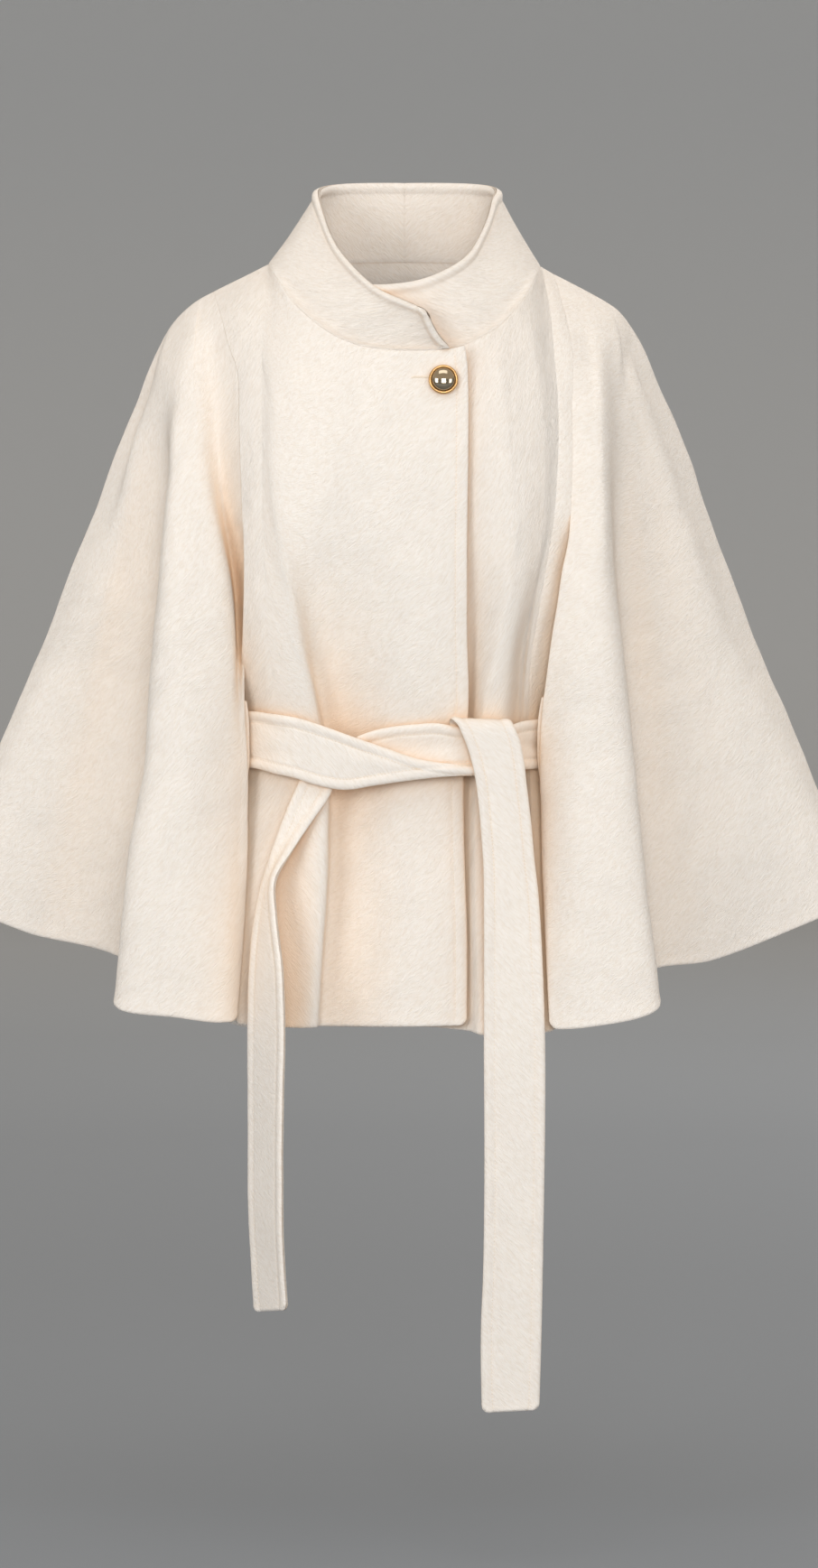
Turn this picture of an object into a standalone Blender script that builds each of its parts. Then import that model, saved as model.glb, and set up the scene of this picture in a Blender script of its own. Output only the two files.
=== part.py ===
"""Cape coat: wool cape with a funnel collar, arm slits, a half-knotted belt and one gold button.

Sizes are in millimetres (X to the wearer's left, Y to the back, Z up) and are scaled to metres
when the meshes are made. The origin is at the neck base, between the two shoulder neck points.
Each cloth panel is a wall lofted over named fold lines; each fold line is a short table of
sections from its top to the hem.
"""
import bmesh
import bpy
import numpy as np
from mathutils import Vector

for obj in list(bpy.data.objects):
    bpy.data.objects.remove(obj, do_unlink=True)

MM = 0.001
PANEL_WALL = 3.0          # double-faced wool
COLLAR_WALL = 4.0         # two layers, turned edges
BELT_WALL = 4.0
SEAM_GAP = 0.4            # between neighbouring pieces
NECK_HALF_WIDTH = 131.0
NECK_FRONT, NECK_BACK = 107.0, 80.0
ROLL_IN, ROLL_DEPTH = 11.0, 13.0   # roundness of the overarm line
SLIT_SHARE = 0.34         # share of the side line above the arm slit
BUTTON_AT = (36.6, -111.6)
BUTTON_RIM_R, BUTTON_DOME_R, BUTTON_H = 13.8, 10.9, 8.6

CREAM = (0.85, 0.77, 0.67)
CREAM_EDGE = (0.88, 0.80, 0.71)
GOLD_RIM = (0.80, 0.56, 0.25)
GOLD_DOME = (0.90, 0.76, 0.50)

# Shoulder line from the neck point to the shoulder end, then the overarm line down to the hem tip. (x, z)
SHOULDER_R = ((-131, 2), (-139, -2), (-157, -11), (-183, -24), (-201, -34), (-216, -47), (-225, -58), (-232, -70))
ARM_R = ((-232, -70), (-246, -100), (-258, -130), (-271, -161), (-284, -196), (-297, -232), (-311, -265),
         (-324, -298), (-344, -351), (-367, -405), (-390, -460), (-420, -532), (-450, -604))
SHOULDER_L = ((131, 0), (143, -7), (159, -15), (178, -25), (194, -34), (204, -41), (213, -51))
ARM_L = ((213, -51), (229, -77), (243, -109), (258, -143), (272, -179), (283, -211), (295, -244), (309, -282),
         (324, -323), (335, -351), (351, -388), (368, -427), (394, -490), (419, -551), (442, -607))

# Neck seam, from the neck point to the front edge. (x, y, z)
NECK_SEAM_R = ((-131, 0, 2), (-125, -29, -8), (-118, -43, -18), (-107, -60, -35), (-92, -76, -50), (-80, -85, -60),
               (-51, -98, -76), (-13, -106, -83), (14, -106.5, -83.5), (43, -106.5, -82), (57, -106, -79))
NECK_SEAM_L = ((131, 0, 0), (124, -34, -14), (117, -49, -27), (103, -67, -46), (88, -79, -61), (69, -89, -72),
               (54, -94, -79), (27, -96.5, -81.5), (-7, -95, -80.5), (-40, -90, -75))

# Fold lines. Each row is one section: (x, y, z), top to hem.
FRONT_R = {
    "edge": ((57, -106, -79), (59, -110, -94), (60, -113, -114), (60, -124, -178), (59, -130, -263), (59, -128, -347),
             (60, -122, -424), (57, -117, -458), (56, -118, -492), (57, -123, -564), (59, -130, -630), (59, -137, -717)),
    "mid": ((2, -106, -83.5), (-2, -113, -111), (-5, -126, -179), (-6, -132, -263), (-6, -129, -347), (-5, -121, -424),
            (-4, -116, -458), (-4, -117, -492), (-4, -123, -564), (-5, -130, -630), (-6, -138, -718)),
    "valley": ((-47, -99, -77), (-52, -109, -111), (-62, -122, -178), (-81, -122, -246), (-86, -117, -297),
               (-86, -111, -339), (-83, -105, -382), (-77, -99, -425), (-73, -96, -459), (-70, -98, -502),
               (-71, -106, -565), (-74, -115, -631), (-78, -124, -719)),
    "ridge": ((-92, -76, -50), (-103, -98, -110), (-108, -115, -178), (-112, -123, -229), (-110, -127, -263),
              (-106, -128, -297), (-100, -127, -331), (-95, -125, -360), (-86, -122, -398), (-79, -118, -436),
              (-74, -117, -467), (-71, -119, -501), (-72, -124, -538), (-74, -134, -608), (-78, -140, -661),
              (-82, -146, -718)),
    "neck": ((-131, 0, 2), (-133, -44, -32), (-135, -76, -76), (-134, -93, -119), (-134, -109, -178),
             (-133, -121, -263), (-129, -122, -348), (-123, -118, -399), (-118, -114, -430), (-115, -112, -458),
             (-111, -114, -501), (-110, -124, -564), (-113, -134, -630), (-118, -143, -718)),
    "side": ((-183, 0, -24), (-174, -38, -50), (-166, -62, -78), (-158, -77, -101), (-156, -93, -143),
             (-154, -104, -190), (-153, -111, -239), (-151, -115, -290), (-149, -117, -338), (-143, -114, -383),
             (-134, -103, -424), (-130, -100.5, -458), (-135, -106, -501), (-142, -118, -564), (-144, -127, -630),
             (-147, -135, -716)),
}
CAPE_R = {
    "edge": ((-183, 0, -24), (-174, -38, -50), (-166, -62, -78), (-158, -77, -101), (-156, -93, -143),
             (-154, -104, -190), (-153, -111, -239), (-150, -106, -263), (-149, -103, -290), (-149, -101, -318),
             (-151, -101, -350), (-151.5, -106, -385), (-150, -111, -422), (-147, -109, -471), (-147, -113, -520),
             (-147, -122, -574), (-150, -132, -626), (-153, -140, -670), (-156, -148, -713)),
    "trough": ((-188, 0, -27), (-184, -35, -55), (-180, -53, -85), (-176, -77, -143), (-172, -88, -204),
               (-169, -91, -239), (-165.5, -90, -263), (-162, -88, -290), (-159.5, -89, -318), (-158, -94, -350),
               (-157, -104, -385), (-155, -113, -422), (-153, -113, -471), (-153.5, -117, -520),
               (-154.5, -127, -573), (-157.5, -138, -626), (-160.5, -146, -669), (-164, -154, -712)),
    "lip": ((-193, 0, -30), (-194, -36, -62), (-194, -56, -91), (-190, -82, -143), (-184, -99, -204),
            (-177, -106, -239), (-171, -109, -263), (-165.5, -111, -290), (-162, -113, -318), (-159.5, -115, -350),
            (-159, -118, -385), (-161, -121, -422), (-162, -121, -471), (-163, -125, -520), (-165, -135, -573),
            (-168, -145, -626), (-171, -152, -669), (-176, -159, -712)),
    "mid": ((-197, 0, -32), (-200, -38, -65), (-201, -57, -92), (-199, -84, -143), (-199, -104, -204),
            (-201, -118, -263), (-200, -127, -318), (-197, -134, -372), (-195, -138, -421), (-195, -141, -470),
            (-198, -146, -519), (-201, -152, -571), (-205, -158, -624), (-208, -162, -668), (-211, -165, -707)),
    "ridge": ((-208, 0, -40), (-212, -29, -66), (-215, -50, -92), (-216, -70, -127), (-220, -86, -161),
              (-222, -97, -201), (-227, -106, -249), (-231, -113, -297), (-235, -119, -343), (-238, -124, -387),
              (-242, -128, -432), (-245, -133, -483), (-251, -136, -515), (-257, -139, -545), (-264, -145, -608),
              (-269, -149, -661), (-272, -152, -697)),
    "valley": ((-216, 0, -47), (-223, -22, -72), (-228, -38, -95), (-229, -50, -126), (-226, -59, -161),
               (-224, -64, -201), (-224, -67, -249), (-226, -70, -297), (-228, -74, -344), (-231, -78, -389),
               (-234, -82, -434), (-238, -87, -485), (-243, -90, -518), (-249, -93, -548), (-255, -99, -611),
               (-261, -104, -667)),
    "wing": ((-225, 0, -58), (-234, -16, -84), (-245, -25, -126), (-257, -30, -160), (-267, -33, -212),
             (-278, -35, -264), (-291, -37, -320), (-304, -38, -380), (-317, -38, -436), (-331, -37, -488),
             (-343, -35, -536), (-354, -33, -580), (-364, -30, -638)),
}
FRONT_L = {
    "edge": ((-40, -90, -75), (-36, -103, -111), (-24, -118, -178), (-10, -123, -263), (-8, -120, -348),
             (-8, -112, -424), (-8, -107, -459), (-8, -108, -493), (-8, -114, -565), (-8, -121, -631),
             (-8, -128, -716)),
    "under": ((49, -94.5, -79.5), (50, -103, -111), (50, -114, -178), (50, -120, -263), (50, -115, -348),
              (50, -108, -424), (50, -106, -459), (50, -107, -493), (50, -112, -565), (50, -119, -631),
              (51, -127, -722)),
    "hollow": ((69, -89, -72), (68, -104, -111), (67, -118, -178), (69, -122, -229), (68, -121, -263),
               (66, -117, -305), (64, -111, -348), (62, -106, -391), (61, -103, -425), (60, -101, -459),
               (59, -103, -493), (59, -109, -565), (59, -116, -631), (60, -125, -723)),
    "ridge": ((83, -82, -64), (85, -105, -111), (89, -122, -178), (92, -127, -229), (95, -129, -263),
              (91, -131, -298), (87, -130, -331), (82, -128, -364), (76, -125, -398), (72, -121, -424),
              (69, -117, -458), (67, -118, -492), (66, -124, -564), (67, -132, -630), (69, -142, -725)),
    "swell": ((98, -71, -51), (104, -99, -110), (108, -120, -178), (111, -127, -229), (109, -131, -280),
              (103, -131, -339), (97, -128, -381), (93, -121, -424), (92, -116, -458), (93, -118, -492),
              (94, -125, -564), (93, -133, -630), (94, -143, -725)),
    "valley": ((115, -52, -30), (123, -80, -76), (129, -95, -119), (132, -108, -178), (131, -116, -230),
               (126, -119, -282), (118, -117, -325), (111, -113, -368), (108, -106, -421), (108, -103, -459),
               (110, -105, -493), (112, -114, -565), (113, -123, -631), (115, -134, -725)),
    "neck": ((131, 0, 0), (138, -46, -42), (142, -76, -89), (145, -93, -136), (144, -107, -195), (141, -114, -238),
             (134, -118, -282), (126, -118, -331), (119, -114, -377), (118, -106, -421), (118, -101.5, -458),
             (119, -106, -493), (121, -118, -564), (123, -127, -630), (125, -138, -724)),
    "side": ((143, 0, -7), (149, -28, -32), (155, -50, -58), (159, -65, -81), (158, -88, -136), (158, -103, -195),
             (156, -111, -238), (152, -110, -262), (151, -112, -288), (146, -114, -321), (141, -113, -351),
             (135, -108, -394), (132, -101, -421), (131, -97.5, -458), (132, -102, -501), (134, -117, -564), (136, -127, -630),
             (140, -138, -722)),
}
CAPE_L = {
    "edge": ((143, 0, -7), (149, -28, -32), (155, -50, -58), (159, -65, -81), (158, -88, -136), (158, -103, -195),
             (156, -111, -238), (153.5, -117.5, -262), (148, -123, -288), (143, -126, -321), (138, -127, -351), (132, -126, -394),
             (129, -123, -421), (127, -119, -458), (127, -120, -493), (128, -122, -520), (129, -131, -581),
             (132, -141, -644), (136, -151, -719)),
    "swell": ((160, 0, -15.5), (167, -32, -44), (173, -57, -81), (175, -85, -136), (176, -104, -195),
              (177, -114, -238), (173, -127, -288), (168, -135, -339), (164, -140, -394), (160, -141, -457),
              (160, -146, -516), (163, -152, -580), (166, -158, -642), (171, -165, -716)),
    "ridge": ((178, 0, -25), (185, -30, -52), (189, -54, -88), (191, -73, -127), (192, -89, -178), (193, -98, -219),
              (196, -109, -280), (200, -117, -327), (205, -123, -373), (209, -127, -411), (215, -132, -470),
              (220, -138, -525), (224, -142, -567), (228, -146, -607), (235, -150, -661), (239, -153, -698)),
    "valley": ((189, 0, -31), (199, -23, -56), (204, -39, -87), (204, -51, -126), (202, -61, -178),
               (200, -66, -219), (201, -71, -280), (204, -75, -327), (207, -79, -374), (211, -83, -413),
               (216, -88, -472), (221, -93, -528), (224, -97, -570), (227, -101, -611), (231, -106, -671)),
    "rise": ((197, 0, -36), (205, -19, -61), (210, -32, -91), (215, -39, -126), (222, -44, -177), (226, -48, -219),
             (234, -52, -281), (241, -55, -328), (248, -58, -375), (255, -60, -414), (266, -62, -474),
             (275, -63, -530), (282, -64, -573), (289, -64, -614), (294, -64, -662)),
    "wing": ((204, 0, -41), (212, -15, -68), (220, -25, -100), (231, -28, -134), (246, -31, -177), (261, -33, -229),
             (278, -35, -281), (293, -36, -333), (309, -36, -385), (324, -36, -437), (339, -35, -489),
             (352, -34, -541), (362, -32, -585), (371, -30, -636)),
}
BACK = {
    "centre": ((0, 80, 8), (0, 90, -20), (0, 102, -70), (0, 113, -140), (0, 119, -220), (0, 123, -320),
               (0, 128, -430), (0, 134, -540), (0, 140, -650), (0, 145, -746)),
    "flute": ((66, 69, 6), (70, 93, -40), (74, 110, -110), (79, 123, -200), (84, 131, -300), (88, 139, -430),
              (92, 148, -560), (97, 157, -747)),
    "neck": ((131, 0, 1), (134, 42, -20), (139, 74, -70), (146, 97, -140), (151, 109, -220), (155, 113, -320),
             (161, 117, -430), (169, 122, -540), (184, 129, -742)),
    "flute2": ((168, 0, -18), (181, 36, -52), (194, 62, -110), (205, 84, -190), (216, 98, -290), (228, 110, -410),
               (238, 119, -530), (249, 124, -714)),
    "dip": ((198, 0, -38), (210, 26, -75), (226, 44, -150), (243, 56, -240), (264, 66, -340), (285, 74, -450),
            (305, 82, -570), (320, 86, -656)),
}

# Collar stations, from the centre back to the front end: base on the neck seam, then the top edge.
COLLAR_R = (
    ((0, 80, 8), (0, 78.5, 84)),
    ((-36, 77, 7.5), (-30, 76, 84)),
    ((-66, 69, 6), (-58, 69, 83)),
    ((-104, 48, 4), (-77, 50, 80)),
    ((-131, 0, 2), (-84, 25, 73)),
    ((-125, -29, -8), (-82.5, 10, 66)),
    ((-107, -60, -35), (-77, -12, 47)),
    ((-80, -85, -60), (-65, -41, 17)),
    ((-51, -98, -76), (-47, -66, -5)),
    ((-13, -106, -83), (-24, -84, -26)),
    ((20, -107, -83.5), (-2, -97, -36)),
    ((44, -107.5, -82), (20, -104.5, -45.5)),
)
COLLAR_R_END = ((44, -107.5, -82), (34.5, -107.5, -73), (27.5, -107, -62), (24, -106, -54), (20, -104.5, -45.5))
COLLAR_L = (
    ((0, 80, 8), (0, 78.5, 84)),
    ((36, 77, 7.5), (32, 76, 84)),
    ((66, 69, 6), (62, 69, 83)),
    ((104, 48, 4), (84, 49, 80)),
    ((131, 0, 0), (90, 25, 73)),
    ((124, -34, -14), (85, 8, 66)),
    ((103, -67, -46), (78, -22, 40)),
    ((88, -79, -61), (66, -46, 15)),
    ((54, -94, -79), (50, -63, 0)),
    ((27, -96.5, -81.5), (23, -76, -14)),
    ((-7, -95, -80.5), (-8, -80, -20)),
    ((-40, -90, -75), (-34, -72, -20)),
)

# Belt stretches: (x, y, z) of the upper or left edge, then of the lower or right edge.
BAND_R = {
    "upper": ((-176, -76, -424), (-160, -90, -423.5), (-149, -99.5, -423), (-140, -108, -423), (-131, -115.5, -424),
              (-121, -122.5, -425), (-101, -130.5, -428), (-78, -134.5, -435), (-47, -135, -446), (-18, -135, -456),
              (12, -136, -466), (36, -138.5, -470), (57, -139.5, -472)),
    "lower": ((-174, -76, -477), (-159, -90, -477), (-148, -99.5, -476.5), (-140, -108, -477), (-131, -115.5, -479),
              (-123, -122, -481), (-106, -129.5, -484), (-83, -134, -491), (-56, -135, -495.5), (-28, -135, -491.5),
              (3, -136, -487), (33, -138.5, -483), (57, -139.5, -482)),
}
BAND_L = {
    "upper": ((166, -74, -428), (156, -87, -428.5), (146, -96.5, -429), (138, -103, -429.5), (130, -108.5, -430),
              (121, -115, -430.5), (112, -123.5, -431.5), (101, -132.5, -434.5), (70, -133.5, -436), (48, -133.5, -436),
              (30, -131, -433), (12, -127, -434), (-8, -126, -436), (-28, -125.5, -440), (-45, -125.5, -446)),
    "lower": ((165, -74, -477), (155, -87, -477), (145, -96.5, -476.5), (137, -103, -476.5), (129, -108.5, -476.5),
              (121, -115, -477), (112, -123.5, -477), (101, -132.5, -477.5), (70, -133.5, -479.5), (48, -133.5, -480),
              (30, -131, -481), (12, -127, -483), (-8, -126, -484), (-28, -125.5, -484.5), (-45, -125.5, -483)),
}
TAIL_L = {
    "left": ((45, -124.8, -456), (46, -124.5, -442), (46.8, -124.6, -433), (47.5, -127.4, -426.3),
             (48.5, -134, -423.5), (49.5, -140.8, -426.3), (50.5, -143.6, -433), (54, -144.6, -442), (60, -145, -458), (65, -145, -477), (69.5, -145, -508), (72, -145.5, -537),
             (74, -146.5, -567), (74.5, -149, -610), (74.5, -151, -669), (74.5, -153, -736), (75, -154, -805),
             (75, -154, -884), (74, -153, -949), (72, -151, -1002), (73, -150, -1082)),
    "right": ((90, -124.8, -456), (91, -124.5, -442), (93.5, -124.6, -434), (97, -127.4, -427.3),
              (101.5, -134, -424.5), (103, -140.2, -427.3), (104.5, -142.6, -434), (107.5, -143, -443), (111, -143.5, -461), (115, -144, -493), (119, -144, -527), (122, -145, -560),
              (125.5, -146, -590), (128, -148, -625), (130, -151, -669), (132, -153, -736), (132, -154, -805),
              (131, -153, -884), (130, -152, -949), (129, -151, -1002), (127, -150, -1079)),
}
TAIL_R = {
    "left": ((-92, -126, -474), (-99, -126.5, -488), (-109, -127.5, -510), (-120, -130, -537), (-130, -133, -567),
             (-138, -137, -596), (-143, -142, -626), (-146, -147, -661), (-147.5, -152, -706), (-147.5, -154, -780),
             (-147, -154, -859), (-145.5, -152, -922), (-142, -150, -986)),
    "right": ((-62, -127.5, -482), (-69, -128.5, -499), (-87, -134, -525), (-106, -144, -552), (-122, -155, -578),
              (-121.5, -168, -609), (-118, -180, -637), (-115, -188, -660), (-113, -195, -704), (-114, -200, -778),
              (-115, -200, -852), (-114, -197, -919), (-110.5, -193, -978)),
}
BELT_BACK_PATH = ((-176.6, -75.4), (-186, -50), (-186, -10), (-174, 35), (-142, 72), (-90, 96), (-40, 106), (0, 108),
                  (40, 106), (90, 96), (138, 72), (170, 35), (181, -10), (178, -50), (166.6, -73.3))   # (x, y)
BELT_BACK_TOP, BELT_BACK_LOW = -426.0, -477.0
WELT = {   # bound edge of each belt opening: (x, y, z) of the strip's outer line, then its width inwards
    "right": ((-148.6, -104.4, -413), (-147, -104.8, -425), (-146, -105, -452), (-146.6, -105, -478),
              (-149, -105.2, -491)),
    "left": ((129, -120.4, -409), (126.5, -118.6, -424), (125, -116.4, -452), (126, -116.2, -476),
             (128.4, -116.6, -491)),
}
WELT_WIDTH, WELT_WALL = 6.5, 2.0


def hermite(points, knots, at):
    """Smooth curve through rows of points at the given knots."""
    p, k, at = np.asarray(points, float), np.asarray(knots, float), np.atleast_1d(np.asarray(at, float))
    n = len(k)
    slope = (p[1:] - p[:-1]) / (k[1:] - k[:-1])[:, None]
    tan = np.empty_like(p)
    if n == 2:
        tan[:] = slope[0]
    else:
        a, b = (k[1:-1] - k[:-2])[:, None], (k[2:] - k[1:-1])[:, None]
        tan[1:-1] = (slope[:-1] * b + slope[1:] * a) / (a + b)
        tan[0], tan[-1] = 1.5 * slope[0] - 0.5 * tan[1], 1.5 * slope[-1] - 0.5 * tan[-2]
    i = np.clip(np.searchsorted(k, at, side="right") - 1, 0, n - 2)
    h = (k[i + 1] - k[i])[:, None]
    t = ((at - k[i]) / h[:, 0])[:, None]
    return ((2 * t**3 - 3 * t**2 + 1) * p[i] + (t**3 - 2 * t**2 + t) * h * tan[i]
            + (3 * t**2 - 2 * t**3) * p[i + 1] + (t**3 - t**2) * h * tan[i + 1])


def lengths(points):
    """Running length along a row of points."""
    p = np.asarray(points, float)
    return np.concatenate([[0.0], np.cumsum(np.linalg.norm(np.diff(p, axis=0), axis=1))])


def along(points, shares):
    """Points at shares of the length of the smooth line through the table's rows."""
    p = np.asarray(points, float)
    k = lengths(p)
    dense = hermite(p, k, np.linspace(0, k[-1], 240))
    run = lengths(dense)
    want = np.asarray(shares, float) * run[-1]
    return np.stack([np.interp(want, run, dense[:, c]) for c in range(dense.shape[1])], axis=1)


def split_line(points, row, shares):
    """As along(), with the table's given row at SLIT_SHARE, so that two lines share the rows above it."""
    shares = np.asarray(shares, float)
    up, down = shares <= SLIT_SHARE + 1e-9, shares > SLIT_SHARE + 1e-9
    out = np.empty((len(shares), 3))
    out[up] = along(points[:row + 1], shares[up] / SLIT_SHARE)
    out[down] = along(points[row:], (shares[down] - SLIT_SHARE) / (1 - SLIT_SHARE))
    return out


def unit(v):
    return v / np.maximum(np.linalg.norm(v, axis=-1, keepdims=True), 1e-9)


def neck_normal(p):
    """Direction out of the neck seam, half way between the collar's and the body's."""
    depth = NECK_FRONT if p[1] < 0 else NECK_BACK
    out = unit(np.array([p[0] / NECK_HALF_WIDTH**2, p[1] / depth**2, 0.0]))
    tilt = 46 - (25 * -out[1] if out[1] < 0 else 38 * out[1])
    tilt = np.radians(tilt)
    return np.array([out[0] * np.cos(tilt), out[1] * np.cos(tilt), np.sin(tilt)])


def grid_normals(grid, sign):
    """Outward directions of a grid of points."""
    du, dv = np.gradient(grid, axis=1), np.gradient(grid, axis=0)
    return unit(np.cross(du, dv)) * sign


def wall(name, grid, normals, thickness, colour, collection):
    """Closed cloth wall: the grid is its outer face, the inner face lies a wall's thickness inside."""
    rows, cols = grid.shape[:2]
    inner = grid - normals * thickness
    bm = bmesh.new()
    outer_v = [[bm.verts.new(Vector(grid[i, j] * MM)) for j in range(cols)] for i in range(rows)]
    inner_v = [[bm.verts.new(Vector(inner[i, j] * MM)) for j in range(cols)] for i in range(rows)]
    for i in range(rows - 1):
        for j in range(cols - 1):
            bm.faces.new((outer_v[i][j], outer_v[i][j + 1], outer_v[i + 1][j + 1], outer_v[i + 1][j]))
            bm.faces.new((inner_v[i][j], inner_v[i + 1][j], inner_v[i + 1][j + 1], inner_v[i][j + 1]))
    rim = [(i, 0) for i in range(rows)] + [(rows - 1, j) for j in range(1, cols)]
    rim += [(i, cols - 1) for i in range(rows - 2, -1, -1)] + [(0, j) for j in range(cols - 2, 0, -1)]
    for a, b in zip(rim, rim[1:] + rim[:1]):
        bm.faces.new((outer_v[a[0]][a[1]], outer_v[b[0]][b[1]], inner_v[b[0]][b[1]], inner_v[a[0]][a[1]]))
    bmesh.ops.recalc_face_normals(bm, faces=bm.faces)
    return finish(name, bm, colour, 0.9, 0.0, collection)


def finish(name, bm, colour, roughness, metallic, collection):
    mesh = bpy.data.meshes.new(name)
    bm.to_mesh(mesh)
    bm.free()
    mat = bpy.data.materials.new(name + "_mat")
    mat.use_nodes = True
    bsdf = mat.node_tree.nodes["Principled BSDF"]
    bsdf.inputs["Base Color"].default_value = (*colour, 1.0)
    bsdf.inputs["Roughness"].default_value = roughness
    bsdf.inputs["Metallic"].default_value = metallic
    mat.diffuse_color = (*colour, 1.0)
    mesh.materials.append(mat)
    obj = bpy.data.objects.new(name, mesh)
    collection.objects.link(obj)
    return obj


def on_line(line, points):
    """Shares of a line's length nearest to each point."""
    dense = along(line, np.linspace(0, 1, 400))
    return [float(np.argmin(np.linalg.norm(dense - np.asarray(p, float), axis=1))) / 399.0 for p in points]


def knots_and_columns(tops, hems, cells):
    """Spacing of the fold lines across a panel, and the panel's columns between them."""
    mid = 0.35 * np.asarray(tops, float) + 0.65 * np.asarray(hems, float)
    knots = lengths(mid)
    knots = np.maximum.accumulate(knots + np.arange(len(knots)) * 4.0)
    knots = knots / knots[-1]
    cols = [knots[0]]
    for j, n in enumerate(cells):
        cols += [knots[j] + (knots[j + 1] - knots[j]) * (m + 1) / n for m in range(n)]
    return knots, np.array(cols)


def loft(lines, cells, shares):
    """Grid of points over sampled fold lines (a list of arrays, one point for each share)."""
    knots, cols = knots_and_columns([l[0] for l in lines], [l[-1] for l in lines], cells)
    stack = np.stack(lines, axis=1)
    return np.stack([hermite(stack[i], knots, cols) for i in range(len(shares))]), knots, cols


def with_top(grid, cols, knots, tops, parts):
    """Moves the first rows so that the top edge follows the given lines. parts: (line, first, last) fold numbers."""
    target = grid[0].copy()
    for line, first, last in parts:
        s = on_line(line, tops[first:last + 1])
        at = np.interp(cols, knots[first:last + 1], s)
        inside = (cols >= knots[first] - 1e-9) & (cols <= knots[last] + 1e-9)
        target[inside] = along(line, at[inside])
    shift = target - grid[0]
    rows = grid.shape[0]
    fade = np.clip(1 - np.arange(rows) / (0.16 * rows), 0, 1)**2
    return grid + fade[:, None, None] * shift[None]


def flat_line(table):
    return [(x, 0.0, z) for x, z in table]


def rolled(arm, side):
    """Line just inside the overarm line that makes it round, on the front (-1) or the back (+1)."""
    d = np.gradient(arm, axis=0)
    inward = unit(np.stack([-d[:, 2], np.zeros(len(d)), d[:, 0]], axis=1))
    inward *= -np.sign(arm[len(arm) // 2, 0]) * np.sign(inward[len(arm) // 2, 0])
    out = arm + inward * ROLL_IN
    out[:, 1] = side * ROLL_DEPTH
    grow = np.clip(np.arange(len(arm)) / 3.0, 0.45, 1)
    return arm + (out - arm) * grow[:, None]


def seam_plane_normals(points):
    """Outward directions in the plane of the overarm and shoulder lines."""
    d = unit(np.gradient(points, axis=0))
    n = np.stack([-d[:, 2], np.zeros(len(d)), d[:, 0]], axis=1)
    n = unit(n)
    flip = np.where(n[:, 2] + 0.3 * np.abs(n[:, 0]) * np.sign(n[:, 0] * points[:, 0]) < 0, -1.0, 1.0)
    return n * flip[:, None]


SHARES = np.array([0, 0.03, 0.065, 0.105, 0.15, 0.2, 0.25, 0.295, SLIT_SHARE, 0.385, 0.44, 0.5, 0.56, 0.62, 0.69, 0.76,
                   0.84, 0.92, 1.0])


def set_neck(grid, normals, columns):
    for j in columns:
        normals[0, j] = neck_normal(grid[0, j])


def build_front(table, shoulder, neck_seam, cells, neck_fold, slit_row, sign):
    names = list(table)
    lines = [along(table[n], SHARES) for n in names[:-1]] + [split_line(table["side"], slit_row, SHARES)]
    grid, knots, cols = loft(lines, cells, SHARES)
    tops = [table[n][0] for n in names]
    last = len(names) - 1
    grid = with_top(grid, cols, knots, tops,
                    [(neck_seam, 0, neck_fold), (flat_line(shoulder), neck_fold, last)])
    normals = grid_normals(grid, sign)
    corner = int(np.argmin(np.abs(cols - knots[neck_fold])))
    set_neck(grid, normals, range(corner + 1))
    normals[0, corner + 1:] = seam_plane_normals(grid[0, corner:])[1:]
    grid[0, corner:, 1] = -0.5 * SEAM_GAP
    return grid, normals


def build_cape(table, shoulder, arm_table, cells, slit_row, sign):
    names = list(table)
    arm = along(flat_line(arm_table), SHARES)
    lines = [split_line(table["edge"], slit_row, SHARES)] + [along(table[n], SHARES) for n in names[1:]]
    lines += [rolled(arm, -1), arm]
    grid, knots, cols = loft(lines, cells, SHARES)
    tops = [l[0] for l in lines]
    tops[-2] = np.array(shoulder[-2] + (0,))[[0, 2, 1]] * 0.5 + np.array(arm[0]) * 0.5
    grid = with_top(grid, cols, knots, tops, [(flat_line(shoulder), 0, len(lines) - 1)])
    normals = grid_normals(grid, sign)
    grid[0, :, 1] = -0.5 * SEAM_GAP
    grid[:, -1, 1] = -0.5 * SEAM_GAP
    normals[0, :] = seam_plane_normals(grid[0])
    normals[:, -1] = seam_plane_normals(grid[:, -1])
    normals[0, -1] = unit(normals[0, -2] + normals[1, -1])
    return grid, normals


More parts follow.
